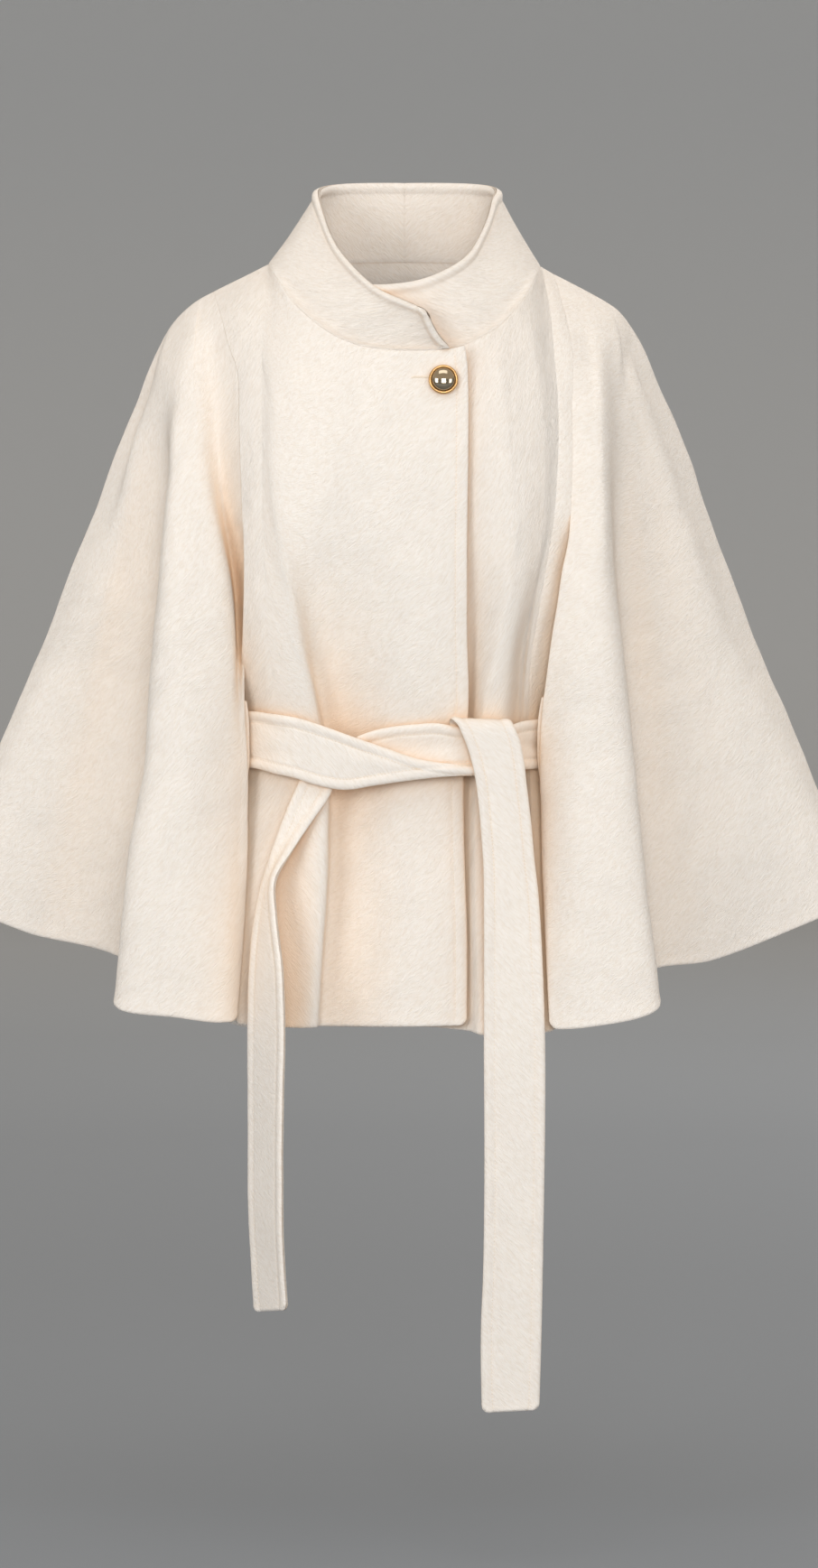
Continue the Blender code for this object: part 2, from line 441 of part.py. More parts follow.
def build_back(shoulder, arm_table, cells, side, sign):
    table = {n: [(side * x, y, z) for x, y, z in rows] for n, rows in BACK.items()}
    arm = along(flat_line(arm_table), SHARES)
    table["neck"][0] = (shoulder[0][0], 0, shoulder[0][1])
    names = list(table)
    lines = [along(table[n], SHARES) for n in names] + [rolled(arm, 1), arm]
    grid, knots, cols = loft(lines, cells, SHARES)
    ring = [(side * x, y, z) for x, y, z in ((0, 80, 8), (36, 77, 7.5), (66, 69, 6), (90, 58, 5), (108, 45, 4),
                                             (123, 26, 3))] + [(shoulder[0][0], 0, shoulder[0][1])]
    tops = [l[0] for l in lines]
    tops[-2] = np.array((shoulder[-2][0], 0, shoulder[-2][1])) * 0.5 + np.array(arm[0]) * 0.5
    grid = with_top(grid, cols, knots, tops, [(ring, 0, 2), (flat_line(shoulder), 2, len(lines) - 1)])
    normals = grid_normals(grid, sign)
    corner = int(np.argmin(np.abs(cols - knots[2])))
    set_neck(grid, normals, range(corner + 1))
    grid[0, corner:, 1] = 0.5 * SEAM_GAP
    grid[:, -1, 1] = 0.5 * SEAM_GAP
    normals[0, corner + 1:] = seam_plane_normals(grid[0, corner:])[1:]
    normals[:, -1] = seam_plane_normals(grid[:, -1])
    normals[0, -1] = unit(normals[0, -2] + normals[1, -1])
    grid[:, 0, 0] = side * 0.5 * SEAM_GAP
    normals[1:, 0, 0] = 0
    normals[:, 0] = unit(normals[:, 0])
    return grid, normals


def join_seam(front, front_n, cape, cape_n, slit_share):
    """Shares the rim directions of the princess seam above the arm slit and parts the two panels by the seam gap."""
    rows = int(np.sum(SHARES <= slit_share + 1e-9))
    both = unit(front_n[1:rows, -1] + cape_n[1:rows, 0])
    front_n[1:rows, -1] = both
    cape_n[1:rows, 0] = both
    cape_n[0, 0] = front_n[0, -1]
    across = unit(cape[:rows, 0] * 0 + (front[:rows, -2] - front[:rows, -1]))
    for i in range(rows):
        n = front_n[i, -1]
        a = across[i] - n * np.dot(across[i], n)
        a = a / np.linalg.norm(a)
        if i == 0:
            a[1] = 0
        front[i, -1] += a * 0.5 * SEAM_GAP
        cape[i, 0] = front[i, -1] - a * SEAM_GAP
        cape[i, 0, 1] = min(cape[i, 0, 1], -0.5 * SEAM_GAP)
        front[i, -1, 1] = min(front[i, -1, 1], -0.5 * SEAM_GAP)


def build_collar(stations, end, side, front, back, front_corner, back_corner):
    """Half of the collar: columns stand on the points of the back's and the front's neck edges."""
    stations = np.asarray(stations, float)
    low = [back[0, j] for j in range(back_corner)] + [0.5 * (back[0, back_corner] + front[0, front_corner])]
    low += [front[0, j] for j in range(front_corner - 1, -1, -1)]
    low = np.array(low)
    if end is not None:
        stop = end[0][0]
        keep = [p for k, p in enumerate(low) if k <= back_corner or p[0] < stop - 2]
        a, b = keep[-1], low[len(keep)]
        keep.append(a + (b - a) * (stop - a[0]) / (b[0] - a[0]))
        low = np.array(keep)
    k = lengths(stations[:, 0])
    dense = np.linspace(0, k[-1], 400)
    seam = hermite(stations[:, 0], k, dense)
    at = [dense[int(np.argmin(np.linalg.norm(seam - p, axis=1)))] for p in low]
    high = hermite(stations[:, 1], k, at)
    rows = np.linspace(0, 1, 6)
    grid = np.empty((len(rows), len(low), 3))
    for j in range(len(low)):
        out = neck_normal(low[j])
        out[2] = 0
        for i, r in enumerate(rows):
            grid[i, j] = low[j] * (1 - r) + high[j] * r - unit(out) * 6.4 * r * (1 - r)
    if end is not None:
        edge = along(end, rows)
        fade = np.clip((np.arange(len(low)) - (len(low) - 3)) / 2.0, 0, 1)**2
        grid += fade[None, :, None] * (edge - grid[:, -1])[:, None, :]
        grid[0] = low
    for j in range(len(low)):
        n = neck_normal(low[j])
        up = grid[1, j] - grid[0, j]
        up = up - n * np.dot(up, n)
        grid[0, j] += up / np.linalg.norm(up) * SEAM_GAP
    normals = grid_normals(grid, side)
    set_neck(grid, normals, range(len(low)))
    grid[:, 0, 0] = side * -0.5 * SEAM_GAP
    normals[:, 0, 0] = 0
    normals[:, 0] = unit(normals[:, 0])
    return grid, normals


def build_ribbon(table, rows, cells, sign, fold_share=0.0, fold_rows=0):
    """Belt stretch between its two edges; fold_rows of its rows lie in the fold at its start."""
    shares = np.linspace(fold_share, 1, rows - fold_rows)
    if fold_rows:
        shares = np.concatenate([np.linspace(0, fold_share, fold_rows + 1)[:-1], shares])
    first, second = (along(table[n], shares) for n in table)
    grid = np.stack([first * (1 - s) + second * s for s in np.linspace(0, 1, cells + 1)], axis=1)
    return grid, grid_normals(grid, sign)


def build_ring(path, top, low, rows):
    pts = along([(x, y, 0) for x, y in path], np.linspace(0, 1, rows))
    up, down = pts.copy(), pts.copy()
    up[:, 2], down[:, 2] = top, low
    grid = np.stack([up, (up + down) / 2, down], axis=1)
    return grid, grid_normals(grid, 1.0)


def surface_point(grid, normals, x, z):
    """Point and direction of a panel at a given x and z."""
    flat, nf = grid.reshape(-1, 3), normals.reshape(-1, 3)
    d2 = (flat[:, 0] - x)**2 + (flat[:, 2] - z)**2
    near = np.argsort(d2)[:6]
    w = 1.0 / (d2[near] + 4.0)
    a = np.c_[np.ones(len(near)), flat[near, 0] - x, flat[near, 2] - z]
    sol = np.linalg.lstsq(a * np.sqrt(w)[:, None], flat[near, 1] * np.sqrt(w), rcond=None)[0]
    n = np.array([sol[1], -1.0, sol[2]])
    return np.array([x, sol[0], z]), n / np.linalg.norm(n)


def lathe(name, profile, origin, axis, colour, roughness, metallic, collection, steps=24):
    """Solid turned about the button's axis from (radius, height) rows that start and end on the axis."""
    bm = bmesh.new()
    rings = []
    for r, h in profile:
        if r < 1e-6:
            rings.append([bm.verts.new((0, 0, h * MM))])
        else:
            rings.append([bm.verts.new((r * MM * np.cos(t), r * MM * np.sin(t), h * MM))
                          for t in np.linspace(0, 2 * np.pi, steps, endpoint=False)])
    for a, b in zip(rings, rings[1:]):
        for k in range(steps):
            m = (k + 1) % steps
            if len(a) == 1:
                bm.faces.new((a[0], b[k], b[m]))
            elif len(b) == 1:
                bm.faces.new((a[k], b[0], a[m]))
            else:
                bm.faces.new((a[k], b[k], b[m], a[m]))
    if len(rings[0]) > 1:
        for k in range(steps):
            m = (k + 1) % steps
            bm.faces.new((rings[-1][k], rings[0][k], rings[0][m], rings[-1][m]))
    bmesh.ops.recalc_face_normals(bm, faces=bm.faces)
    obj = finish(name, bm, colour, roughness, metallic, collection)
    obj.location = Vector(origin * MM)
    obj.rotation_euler = Vector(axis).to_track_quat("Z", "Y").to_euler()
    for poly in obj.data.polygons:
        poly.use_smooth = True
    return obj


coat = bpy.data.collections.new("cape_coat")
bpy.context.scene.collection.children.link(coat)

front_r, front_r_n = build_front(FRONT_R, SHOULDER_R, NECK_SEAM_R[::-1], (3, 3, 2, 2, 2), 4, 6, 1.0)
cape_r, cape_r_n = build_cape(CAPE_R, SHOULDER_R[3:], ARM_R, (2, 2, 2, 2, 3, 2, 3, 1), 6, 1.0)
front_l, front_l_n = build_front(FRONT_L, SHOULDER_L, NECK_SEAM_L[::-1], (3, 1, 2, 1, 2, 2, 1), 6, 6, -1.0)
cape_l, cape_l_n = build_cape(CAPE_L, SHOULDER_L[1:], ARM_L, (2, 3, 3, 2, 2, 3, 1), 6, -1.0)
join_seam(front_r, front_r_n, cape_r, cape_r_n, SLIT_SHARE)
join_seam(front_l, front_l_n, cape_l, cape_l_n, SLIT_SHARE)
back_r, back_r_n = build_back(SHOULDER_R, ARM_R, (2, 3, 2, 3, 3, 1), -1.0, -1.0)
back_l, back_l_n = build_back(SHOULDER_L, ARM_L, (2, 3, 2, 3, 3, 1), 1.0, 1.0)

for name, grid, normals in (("front_right", front_r, front_r_n), ("cape_right", cape_r, cape_r_n),
                            ("front_left", front_l, front_l_n), ("cape_left", cape_l, cape_l_n),
                            ("back_right", back_r, back_r_n), ("back_left", back_l, back_l_n)):
    wall(name, grid, normals, PANEL_WALL, CREAM, coat)

for name, stations, end, side, front, back, corner in (
        ("collar_right", COLLAR_R, COLLAR_R_END, 1.0, front_r, back_r, 10),
        ("collar_left", COLLAR_L, None, -1.0, front_l, back_l, 11)):
    grid, normals = build_collar(stations, end, side, front, back, corner, 5)
    wall(name, grid, normals, COLLAR_WALL, CREAM, coat)

for name, table, rows, sign, fold, fold_rows in (
        ("belt_band_right", BAND_R, 22, 1.0, 0, 0), ("belt_band_left", BAND_L, 22, -1.0, 0, 0),
        ("belt_tail_left", TAIL_L, 30, -1.0, 0.085, 12), ("belt_tail_right", TAIL_R, 24, -1.0, 0, 0)):
    grid, normals = build_ribbon(table, rows, 3, sign, fold, fold_rows)
    wall(name, grid, normals, BELT_WALL, CREAM_EDGE, coat)
grid, normals = build_ring(BELT_BACK_PATH, BELT_BACK_TOP, BELT_BACK_LOW, 26)
wall("belt_back", grid, normals, BELT_WALL, CREAM_EDGE, coat)

for name, rows, inward in (("belt_slot_right", WELT["right"], -1.0), ("belt_slot_left", WELT["left"], 1.0)):
    line = along(rows, np.linspace(0, 1, 9))
    other = line + np.array([inward * WELT_WIDTH, 0, 0])
    other[:, 1] = line[:, 1]
    grid = np.stack([line, (line + other) / 2, other], axis=1)
    wall(name, grid, np.tile(np.array([0, -1.0, 0]), (9, 3, 1)), WELT_WALL, CREAM_EDGE, coat)

spot, axis = surface_point(front_r, front_r_n, *BUTTON_AT)
lift = spot + axis * 0.7
lathe("button_rim", ((9.6, 0.0), (BUTTON_RIM_R - 1.2, 0.0), (BUTTON_RIM_R, 1.2), (BUTTON_RIM_R, 2.8),
                     (BUTTON_RIM_R - 0.9, 3.9), (BUTTON_RIM_R - 2.2, 3.9), (11.4, 2.8), (9.6, 2.8)),
      lift, axis, GOLD_RIM, 0.25, 1.0, coat, 32)
dome = [(0.0, 0.3), (9.2, 0.3), (9.2, 3.1), (BUTTON_DOME_R - 0.2, 3.3)]
dome += [(BUTTON_DOME_R * np.cos(a), 3.3 + (BUTTON_H - 3.3) * np.sin(a)) for a in np.radians([12, 30, 50, 70])]
dome += [(0.0, BUTTON_H)]
lathe("button_dome", dome, lift, axis, GOLD_DOME, 0.08, 1.0, coat, 32)
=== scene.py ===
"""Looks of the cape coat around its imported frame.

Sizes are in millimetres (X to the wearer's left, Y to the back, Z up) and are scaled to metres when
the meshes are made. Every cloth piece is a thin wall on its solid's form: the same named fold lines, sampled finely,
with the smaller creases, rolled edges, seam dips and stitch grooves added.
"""

import math

import bpy
import numpy as np
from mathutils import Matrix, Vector


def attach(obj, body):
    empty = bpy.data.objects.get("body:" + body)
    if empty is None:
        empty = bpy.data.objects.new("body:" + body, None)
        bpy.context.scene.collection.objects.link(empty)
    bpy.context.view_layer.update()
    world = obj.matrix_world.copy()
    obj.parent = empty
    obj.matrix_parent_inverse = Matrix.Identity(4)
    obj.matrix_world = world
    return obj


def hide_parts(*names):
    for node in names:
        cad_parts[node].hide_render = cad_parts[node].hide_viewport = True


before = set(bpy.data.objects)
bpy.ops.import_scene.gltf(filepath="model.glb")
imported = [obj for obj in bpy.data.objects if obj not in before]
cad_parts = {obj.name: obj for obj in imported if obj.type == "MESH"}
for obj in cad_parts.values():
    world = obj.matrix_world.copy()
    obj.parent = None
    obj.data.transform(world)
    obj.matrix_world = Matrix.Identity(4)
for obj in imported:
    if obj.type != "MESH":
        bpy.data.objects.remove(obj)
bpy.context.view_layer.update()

MM = 0.001
PANEL_WALL = 3.0
COLLAR_WALL = 4.0
BELT_WALL = 4.0
SEAM_GAP = 0.06
NECK_HALF_WIDTH = 131.0
NECK_FRONT, NECK_BACK = 107.0, 80.0
ROLL_IN, ROLL_DEPTH = 11.0, 13.0
SLIT_SHARE = 0.34
BUTTON_AT = (36.6, -111.6)
BUTTON_RIM_R, BUTTON_DOME_R, BUTTON_H = 13.8, 10.9, 8.6
CELL = 4.6                # side of a cloth face
STITCH = 3.3              # stitch length
STITCH_IN = 11.3          # topstitch line from the edge

# Shoulder line from the neck point to the shoulder end, then the overarm line down to the hem tip. (x, z)
SHOULDER_R = ((-131, 2), (-139, -2), (-157, -11), (-183, -24), (-201, -34), (-216, -47), (-225, -58), (-232, -70))
ARM_R = ((-232, -70), (-246, -100), (-258, -130), (-271, -161), (-284, -196), (-297, -232), (-311, -265),
         (-324, -298), (-344, -351), (-367, -405), (-390, -460), (-420, -532), (-450, -604))
SHOULDER_L = ((131, 0), (143, -7), (159, -15), (178, -25), (194, -34), (204, -41), (213, -51))
ARM_L = ((213, -51), (229, -77), (243, -109), (258, -143), (272, -179), (283, -211), (295, -244), (309, -282),
         (324, -323), (335, -351), (351, -388), (368, -427), (394, -490), (419, -551), (442, -607))

# Neck seam, from the neck point to the front edge. (x, y, z)
NECK_SEAM_R = ((-131, 0, 2), (-125, -29, -8), (-118, -43, -18), (-107, -60, -35), (-92, -76, -50), (-80, -85, -60),
               (-51, -98, -76), (-13, -106, -83), (14, -106.5, -83.5), (43, -106.5, -82), (57, -106, -79))
NECK_SEAM_L = ((131, 0, 0), (124, -34, -14), (117, -49, -27), (103, -67, -46), (88, -79, -61), (69, -89, -72),
               (54, -94, -79), (27, -96.5, -81.5), (-7, -95, -80.5), (-40, -90, -75))

# Fold lines. Each row is one section: (x, y, z), top to hem.
FRONT_R = {
    "edge": ((57, -106, -79), (59, -110, -94), (60, -113, -114), (60, -124, -178), (59, -130, -263), (59, -128, -347),
             (60, -122, -424), (57, -117, -458), (56, -118, -492), (57, -123, -564), (59, -130, -630), (59, -137, -717)),
    "mid": ((2, -106, -83.5), (-2, -113, -111), (-5, -126, -179), (-6, -132, -263), (-6, -129, -347), (-5, -121, -424),
            (-4, -116, -458), (-4, -117, -492), (-4, -123, -564), (-5, -130, -630), (-6, -138, -718)),
    "valley": ((-47, -99, -77), (-52, -109, -111), (-62, -122, -178), (-81, -122, -246), (-86, -117, -297),
               (-86, -111, -339), (-83, -105, -382), (-77, -99, -425), (-73, -96, -459), (-70, -98, -502),
               (-71, -106, -565), (-74, -115, -631), (-78, -124, -719)),
    "ridge": ((-92, -76, -50), (-103, -98, -110), (-108, -115, -178), (-112, -123, -229), (-110, -127, -263),
              (-106, -128, -297), (-100, -127, -331), (-95, -125, -360), (-86, -122, -398), (-79, -118, -436),
              (-74, -117, -467), (-71, -119, -501), (-72, -124, -538), (-74, -134, -608), (-78, -140, -661),
              (-82, -146, -718)),
    "neck": ((-131, 0, 2), (-133, -44, -32), (-135, -76, -76), (-134, -93, -119), (-134, -109, -178),
             (-133, -121, -263), (-129, -122, -348), (-123, -118, -399), (-118, -114, -430), (-115, -112, -458),
             (-111, -114, -501), (-110, -124, -564), (-113, -134, -630), (-118, -143, -718)),
    "side": ((-183, 0, -24), (-174, -38, -50), (-166, -62, -78), (-158, -77, -101), (-156, -93, -143),
             (-154, -104, -190), (-153, -111, -239), (-151, -115, -290), (-152, -112, -338), (-155, -101, -383),
             (-156, -84, -424), (-156, -76, -458), (-157, -86, -501), (-158, -106, -564), (-159, -121, -630),
             (-161, -130, -716)),
}
CAPE_R = {
    "edge": ((-183, 0, -24), (-174, -38, -50), (-166, -62, -78), (-158, -77, -101), (-156, -93, -143),
             (-154, -104, -190), (-153, -111, -239), (-150, -106, -263), (-149, -103, -290), (-149, -101, -318),
             (-151, -101, -350), (-151.5, -106, -385), (-150, -111, -422), (-147, -109, -471), (-147, -113, -520),
             (-147, -122, -574), (-150, -132, -626), (-153, -140, -670), (-156, -148, -713)),
    "trough": ((-188, 0, -27), (-184, -35, -55), (-180, -53, -85), (-176, -77, -143), (-172, -88, -204),
               (-169, -91, -239), (-165.5, -90, -263), (-162, -88, -290), (-159.5, -89, -318), (-158, -94, -350),
               (-157, -104, -385), (-155, -113, -422), (-153, -113, -471), (-153.5, -117, -520),
               (-154.5, -127, -573), (-157.5, -138, -626), (-160.5, -146, -669), (-164, -154, -712)),
    "lip": ((-193, 0, -30), (-194, -36, -62), (-194, -56, -91), (-190, -82, -143), (-184, -99, -204),
            (-177, -106, -239), (-171, -109, -263), (-165.5, -111, -290), (-162, -113, -318), (-159.5, -115, -350),
            (-159, -118, -385), (-161, -121, -422), (-162, -121, -471), (-163, -125, -520), (-165, -135, -573),
            (-168, -145, -626), (-171, -152, -669), (-176, -159, -712)),
    "mid": ((-197, 0, -32), (-200, -38, -65), (-201, -57, -92), (-199, -84, -143), (-199, -104, -204),
            (-201, -118, -263), (-200, -127, -318), (-197, -134, -372), (-195, -138, -421), (-195, -141, -470),
            (-198, -146, -519), (-201, -152, -571), (-205, -158, -624), (-208, -162, -668), (-211, -165, -707)),
    "ridge": ((-208, 0, -40), (-212, -29, -66), (-215, -50, -92), (-216, -70, -127), (-220, -86, -161),
              (-222, -97, -201), (-227, -106, -249), (-231, -113, -297), (-235, -119, -343), (-238, -124, -387),
              (-242, -128, -432), (-245, -133, -483), (-251, -136, -515), (-257, -139, -545), (-264, -145, -608),
              (-269, -149, -661), (-272, -152, -697)),
    "valley": ((-216, 0, -47), (-223, -22, -72), (-228, -38, -95), (-229, -50, -126), (-226, -59, -161),
               (-224, -64, -201), (-224, -67, -249), (-226, -70, -297), (-228, -74, -344), (-231, -78, -389),
               (-234, -82, -434), (-238, -87, -485), (-243, -90, -518), (-249, -93, -548), (-255, -99, -611),
               (-261, -104, -667)),
    "wing": ((-225, 0, -58), (-234, -16, -84), (-245, -25, -126), (-257, -30, -160), (-267, -33, -212),
             (-278, -35, -264), (-291, -37, -320), (-304, -38, -380), (-317, -38, -436), (-331, -37, -488),
             (-343, -35, -536), (-354, -33, -580), (-364, -30, -638)),
}
FRONT_L = {
    "edge": ((-40, -90, -75), (-36, -103, -111), (-24, -118, -178), (-10, -123, -263), (-8, -120, -348),
             (-8, -112, -424), (-8, -107, -459), (-8, -108, -493), (-8, -114, -565), (-8, -121, -631),
             (-8, -128, -716)),
    "under": ((49, -94.5, -79.5), (50, -103, -111), (50, -114, -178), (50, -120, -263), (50, -115, -348),
              (50, -108, -424), (50, -106, -459), (50, -107, -493), (50, -112, -565), (50, -119, -631),
              (51, -127, -722)),
    "hollow": ((69, -89, -72), (68, -104, -111), (67, -118, -178), (69, -123, -229), (69, -123, -263),
               (68, -120.5, -305), (66.5, -117, -348), (64, -113, -391), (62, -110, -425), (60, -107, -459),
               (61, -111, -493), (61, -118, -565), (61, -125, -631), (62, -133.5, -723)),
    "ridge": ((83, -82, -64), (85, -105, -111), (89, -122, -178), (92, -127, -229), (95, -129, -263),
              (91, -131, -298), (87, -130, -331), (82, -128, -364), (76, -125, -398), (72, -121, -424),
              (69, -117, -458), (67, -118, -492), (66, -124, -564), (67, -132, -630), (69, -142, -725)),
    "swell": ((98, -71, -51), (104, -99, -110), (108, -120, -178), (111, -127, -229), (109, -131, -280),
              (103, -131, -339), (97, -128, -381), (93, -121, -424), (92, -116, -458), (93, -118, -492),
              (94, -125, -564), (93, -133, -630), (94, -143, -725)),
    "valley": ((115, -52, -30), (123, -80, -76), (129, -95, -119), (132, -108, -178), (131, -116, -230),
               (126, -121, -282), (118, -119, -325), (111, -114.5, -368), (108, -106, -421), (108, -103, -459),
               (110, -105, -493), (112, -114, -565), (113, -123, -631), (115, -134, -725)),
    "neck": ((131, 0, 0), (138, -46, -42), (142, -76, -89), (145, -93, -136), (144, -107, -195), (141, -114, -238),
             (134, -118, -282), (126, -118, -331), (119, -114, -377), (118, -106, -421), (118, -101.5, -458),
             (119, -106, -493), (121, -118, -564), (123, -127, -630), (125, -138, -724)),
    "side": ((143, 0, -7), (149, -28, -32), (155, -50, -58), (159, -65, -81), (158, -88, -136), (158, -103, -195),
             (156, -111, -238), (157, -108, -262), (157, -108, -288), (154, -109, -321), (149, -107, -351),
             (143, -101, -394), (138, -94, -421), (136, -91, -458), (139, -96, -501), (141, -112, -564), (142, -124, -630),
             (144, -136, -722)),
}
CAPE_L = {
    "edge": ((143, 0, -7), (149, -28, -32), (155, -50, -58), (159, -65, -81), (158, -88, -136), (158, -103, -195),
             (156, -111, -238), (153.5, -117.5, -262), (148, -123, -288), (143, -126, -321), (138, -127, -351), (132, -126, -394),
             (129, -123, -421), (127, -119, -458), (127, -120, -493), (128, -122, -520), (129, -131, -581),
             (132, -141, -644), (136, -151, -719)),
    "swell": ((160, 0, -15.5), (167, -32, -44), (173, -57, -81), (175, -85, -136), (176, -104, -195),
              (177, -114, -238), (173, -127, -288), (168, -135, -339), (164, -140, -394), (160, -141, -457),
              (160, -146, -516), (163, -152, -580), (166, -158, -642), (171, -165, -716)),
    "ridge": ((178, 0, -25), (185, -30, -52), (189, -54, -88), (191, -73, -127), (192, -89, -178), (193, -98, -219),
              (196, -109, -280), (200, -117, -327), (205, -123, -373), (209, -127, -411), (215, -132, -470),
              (220, -138, -525), (224, -142, -567), (228, -146, -607), (235, -150, -661), (239, -153, -698)),
    "valley": ((189, 0, -31), (199, -23, -56), (204, -39, -87), (204, -51, -126), (202, -61, -178),
               (200, -66, -219), (201, -71, -280), (204, -75, -327), (207, -79, -374), (211, -83, -413),
               (216, -88, -472), (221, -93, -528), (224, -97, -570), (227, -101, -611), (231, -106, -671)),
    "rise": ((197, 0, -36), (205, -19, -61), (210, -32, -91), (215, -39, -126), (222, -44, -177), (226, -48, -219),
             (234, -52, -281), (241, -55, -328), (248, -58, -375), (255, -60, -414), (266, -62, -474),
             (275, -63, -530), (282, -64, -573), (289, -64, -614), (294, -64, -662)),
    "wing": ((204, 0, -41), (212, -15, -68), (220, -25, -100), (231, -28, -134), (246, -31, -177), (261, -33, -229),
             (278, -35, -281), (293, -36, -333), (309, -36, -385), (324, -36, -437), (339, -35, -489),
             (352, -34, -541), (362, -32, -585), (371, -30, -636)),
}
BACK = {
    "centre": ((0, 80, 8), (0, 81.5, -8), (0, 86, -24), (0, 101, -70), (0, 113, -140), (0, 119, -220), (0, 123, -320),
               (0, 128, -430), (0, 134, -540), (0, 140, -650), (0, 145, -746)),
    "flute": ((66, 69, 6), (67.5, 71.5, -10), (69.5, 80, -28), (71, 92, -52), (74, 110, -110), (79, 123, -200), (84, 131, -300), (88, 139, -430),
              (92, 148, -560), (97, 157, -747)),
    "neck": ((131, 0, 1), (134, 42, -20), (139, 74, -70), (146, 97, -140), (151, 109, -220), (155, 113, -320),
             (161, 117, -430), (169, 122, -540), (183, 129, -736)),
    "flute2": ((168, 0, -18), (181, 36, -52), (194, 62, -110), (205, 84, -190), (216, 98, -290), (228, 110, -410),
               (237, 119, -530), (246, 123, -684)),
    "dip": ((198, 0, -38), (210, 26, -75), (226, 44, -150), (243, 56, -240), (264, 66, -340), (285, 74, -450),
            (304, 82, -562), (318, 86, -646)),
}

# Collar stations, from the centre back to the front end: base on the neck seam, then the top edge.
COLLAR_R = (
    ((0, 80, 8), (0, 78.5, 84)),
    ((-36, 77, 7.5), (-30, 76, 84)),
    ((-66, 69, 6), (-58, 69, 83)),
    ((-104, 48, 4), (-77, 50, 80)),
    ((-131, 0, 2), (-84, 25, 73)),
    ((-125, -29, -8), (-82.5, 10, 66)),
    ((-107, -60, -35), (-77, -12, 47)),
    ((-80, -85, -60), (-65, -41, 17)),
    ((-51, -98, -76), (-47, -66, -5)),
    ((-13, -106, -83), (-24, -84, -26)),
    ((20, -107, -83.5), (-2, -97, -36)),
    ((44, -107.5, -82), (20, -104.5, -45.5)),
)
COLLAR_R_END = ((44, -107.5, -82), (34.5, -107.5, -73), (27.5, -107, -62), (24, -106, -54), (20, -104.5, -45.5))
COLLAR_L = (
    ((0, 80, 8), (0, 78.5, 84)),
    ((36, 77, 7.5), (32, 76, 84)),
    ((66, 69, 6), (62, 69, 83)),
    ((104, 48, 4), (84, 49, 80)),
    ((131, 0, 0), (90, 25, 73)),
    ((124, -34, -14), (85, 8, 66)),
    ((103, -67, -46), (78, -22, 40)),
    ((88, -79, -61), (66, -46, 15)),
    ((71, -87.5, -71), (59, -55, 7)),
    ((54, -94, -79), (49, -64, -1)),
    ((27, -96.5, -81.5), (23, -76, -14)),
    ((-7, -95, -80.5), (-8, -80, -20)),
    ((-40, -90, -75), (-34, -72, -20)),
)

# Belt stretches: (x, y, z) of the upper or left edge, then of the lower or right edge.
BAND_R = {
    "upper": ((-176, -76, -424), (-160, -90, -423.5), (-149, -99.5, -423), (-140, -108, -423), (-131, -115.5, -424),
              (-121, -122.5, -425), (-101, -130.5, -428), (-78, -134.5, -435), (-47, -135, -446), (-18, -135, -456),
              (12, -136, -466), (36, -138, -470), (57, -138.6, -472), (80, -138.8, -473)),
    "lower": ((-174, -76, -477), (-159, -90, -477), (-148, -99.5, -476.5), (-140, -108, -477), (-131, -115.5, -479),
              (-123, -122, -481), (-106, -129.5, -484), (-83, -134, -491), (-56, -135, -495.5), (-28, -135, -491.5),
              (3, -136, -487), (33, -138, -483.5), (57, -138.6, -482), (80, -138.8, -481)),
}
BAND_L = {
    "upper": ((166, -74, -428), (156, -87, -428.5), (146, -96.5, -429), (138, -103, -429.5), (130, -108.5, -430),
              (121, -115, -430.5), (112, -123.5, -431.5), (101, -132.5, -434.5), (70, -133.5, -436), (48, -133.5, -436),
              (30, -131, -433), (12, -127, -434), (-8, -126, -436), (-28, -125.5, -440), (-45, -125.5, -446)),
    "lower": ((165, -74, -477), (155, -87, -477), (145, -96.5, -476.5), (137, -103, -476.5), (129, -108.5, -476.5),
              (121, -115, -477), (112, -123.5, -477), (101, -132.5, -477.5), (70, -133.5, -479.5), (48, -133.5, -480),
              (30, -131, -481), (12, -127, -483), (-8, -126, -484), (-28, -125.5, -484.5), (-45, -125.5, -483)),
}
TAIL_L = {
    "left": ((44, -124.8, -456), (43, -124.5, -443), (42.5, -124.6, -436), (42.5, -127.4, -430),
             (43.5, -133.8, -427.2), (46, -139.8, -428.6), (50, -143.2, -433), (53, -144.6, -440), (60, -145, -458), (65, -145, -477), (69.5, -145, -508), (72, -145.5, -537),
             (74, -146.5, -567), (74.5, -149, -610), (74.5, -151, -669), (74.5, -153, -736), (75, -154, -805),
             (75, -154, -884), (74, -153, -949), (72, -151, -1002), (73, -150, -1082)),
    "right": ((90, -124.8, -458), (91, -124.5, -447), (93, -124.6, -439.5), (96, -127.4, -433),
              (99.5, -134, -430), (102, -140.2, -432.5), (104, -142.6, -438), (107.5, -143, -446), (111, -143.5, -461), (115, -144, -493), (119, -144, -527), (122, -145, -560),
              (125.5, -146, -590), (128, -148, -625), (130, -151, -669), (132, -153, -736), (132, -154, -805),
              (131, -153, -884), (130, -152, -949), (129, -151, -1002), (127, -150, -1079)),
}
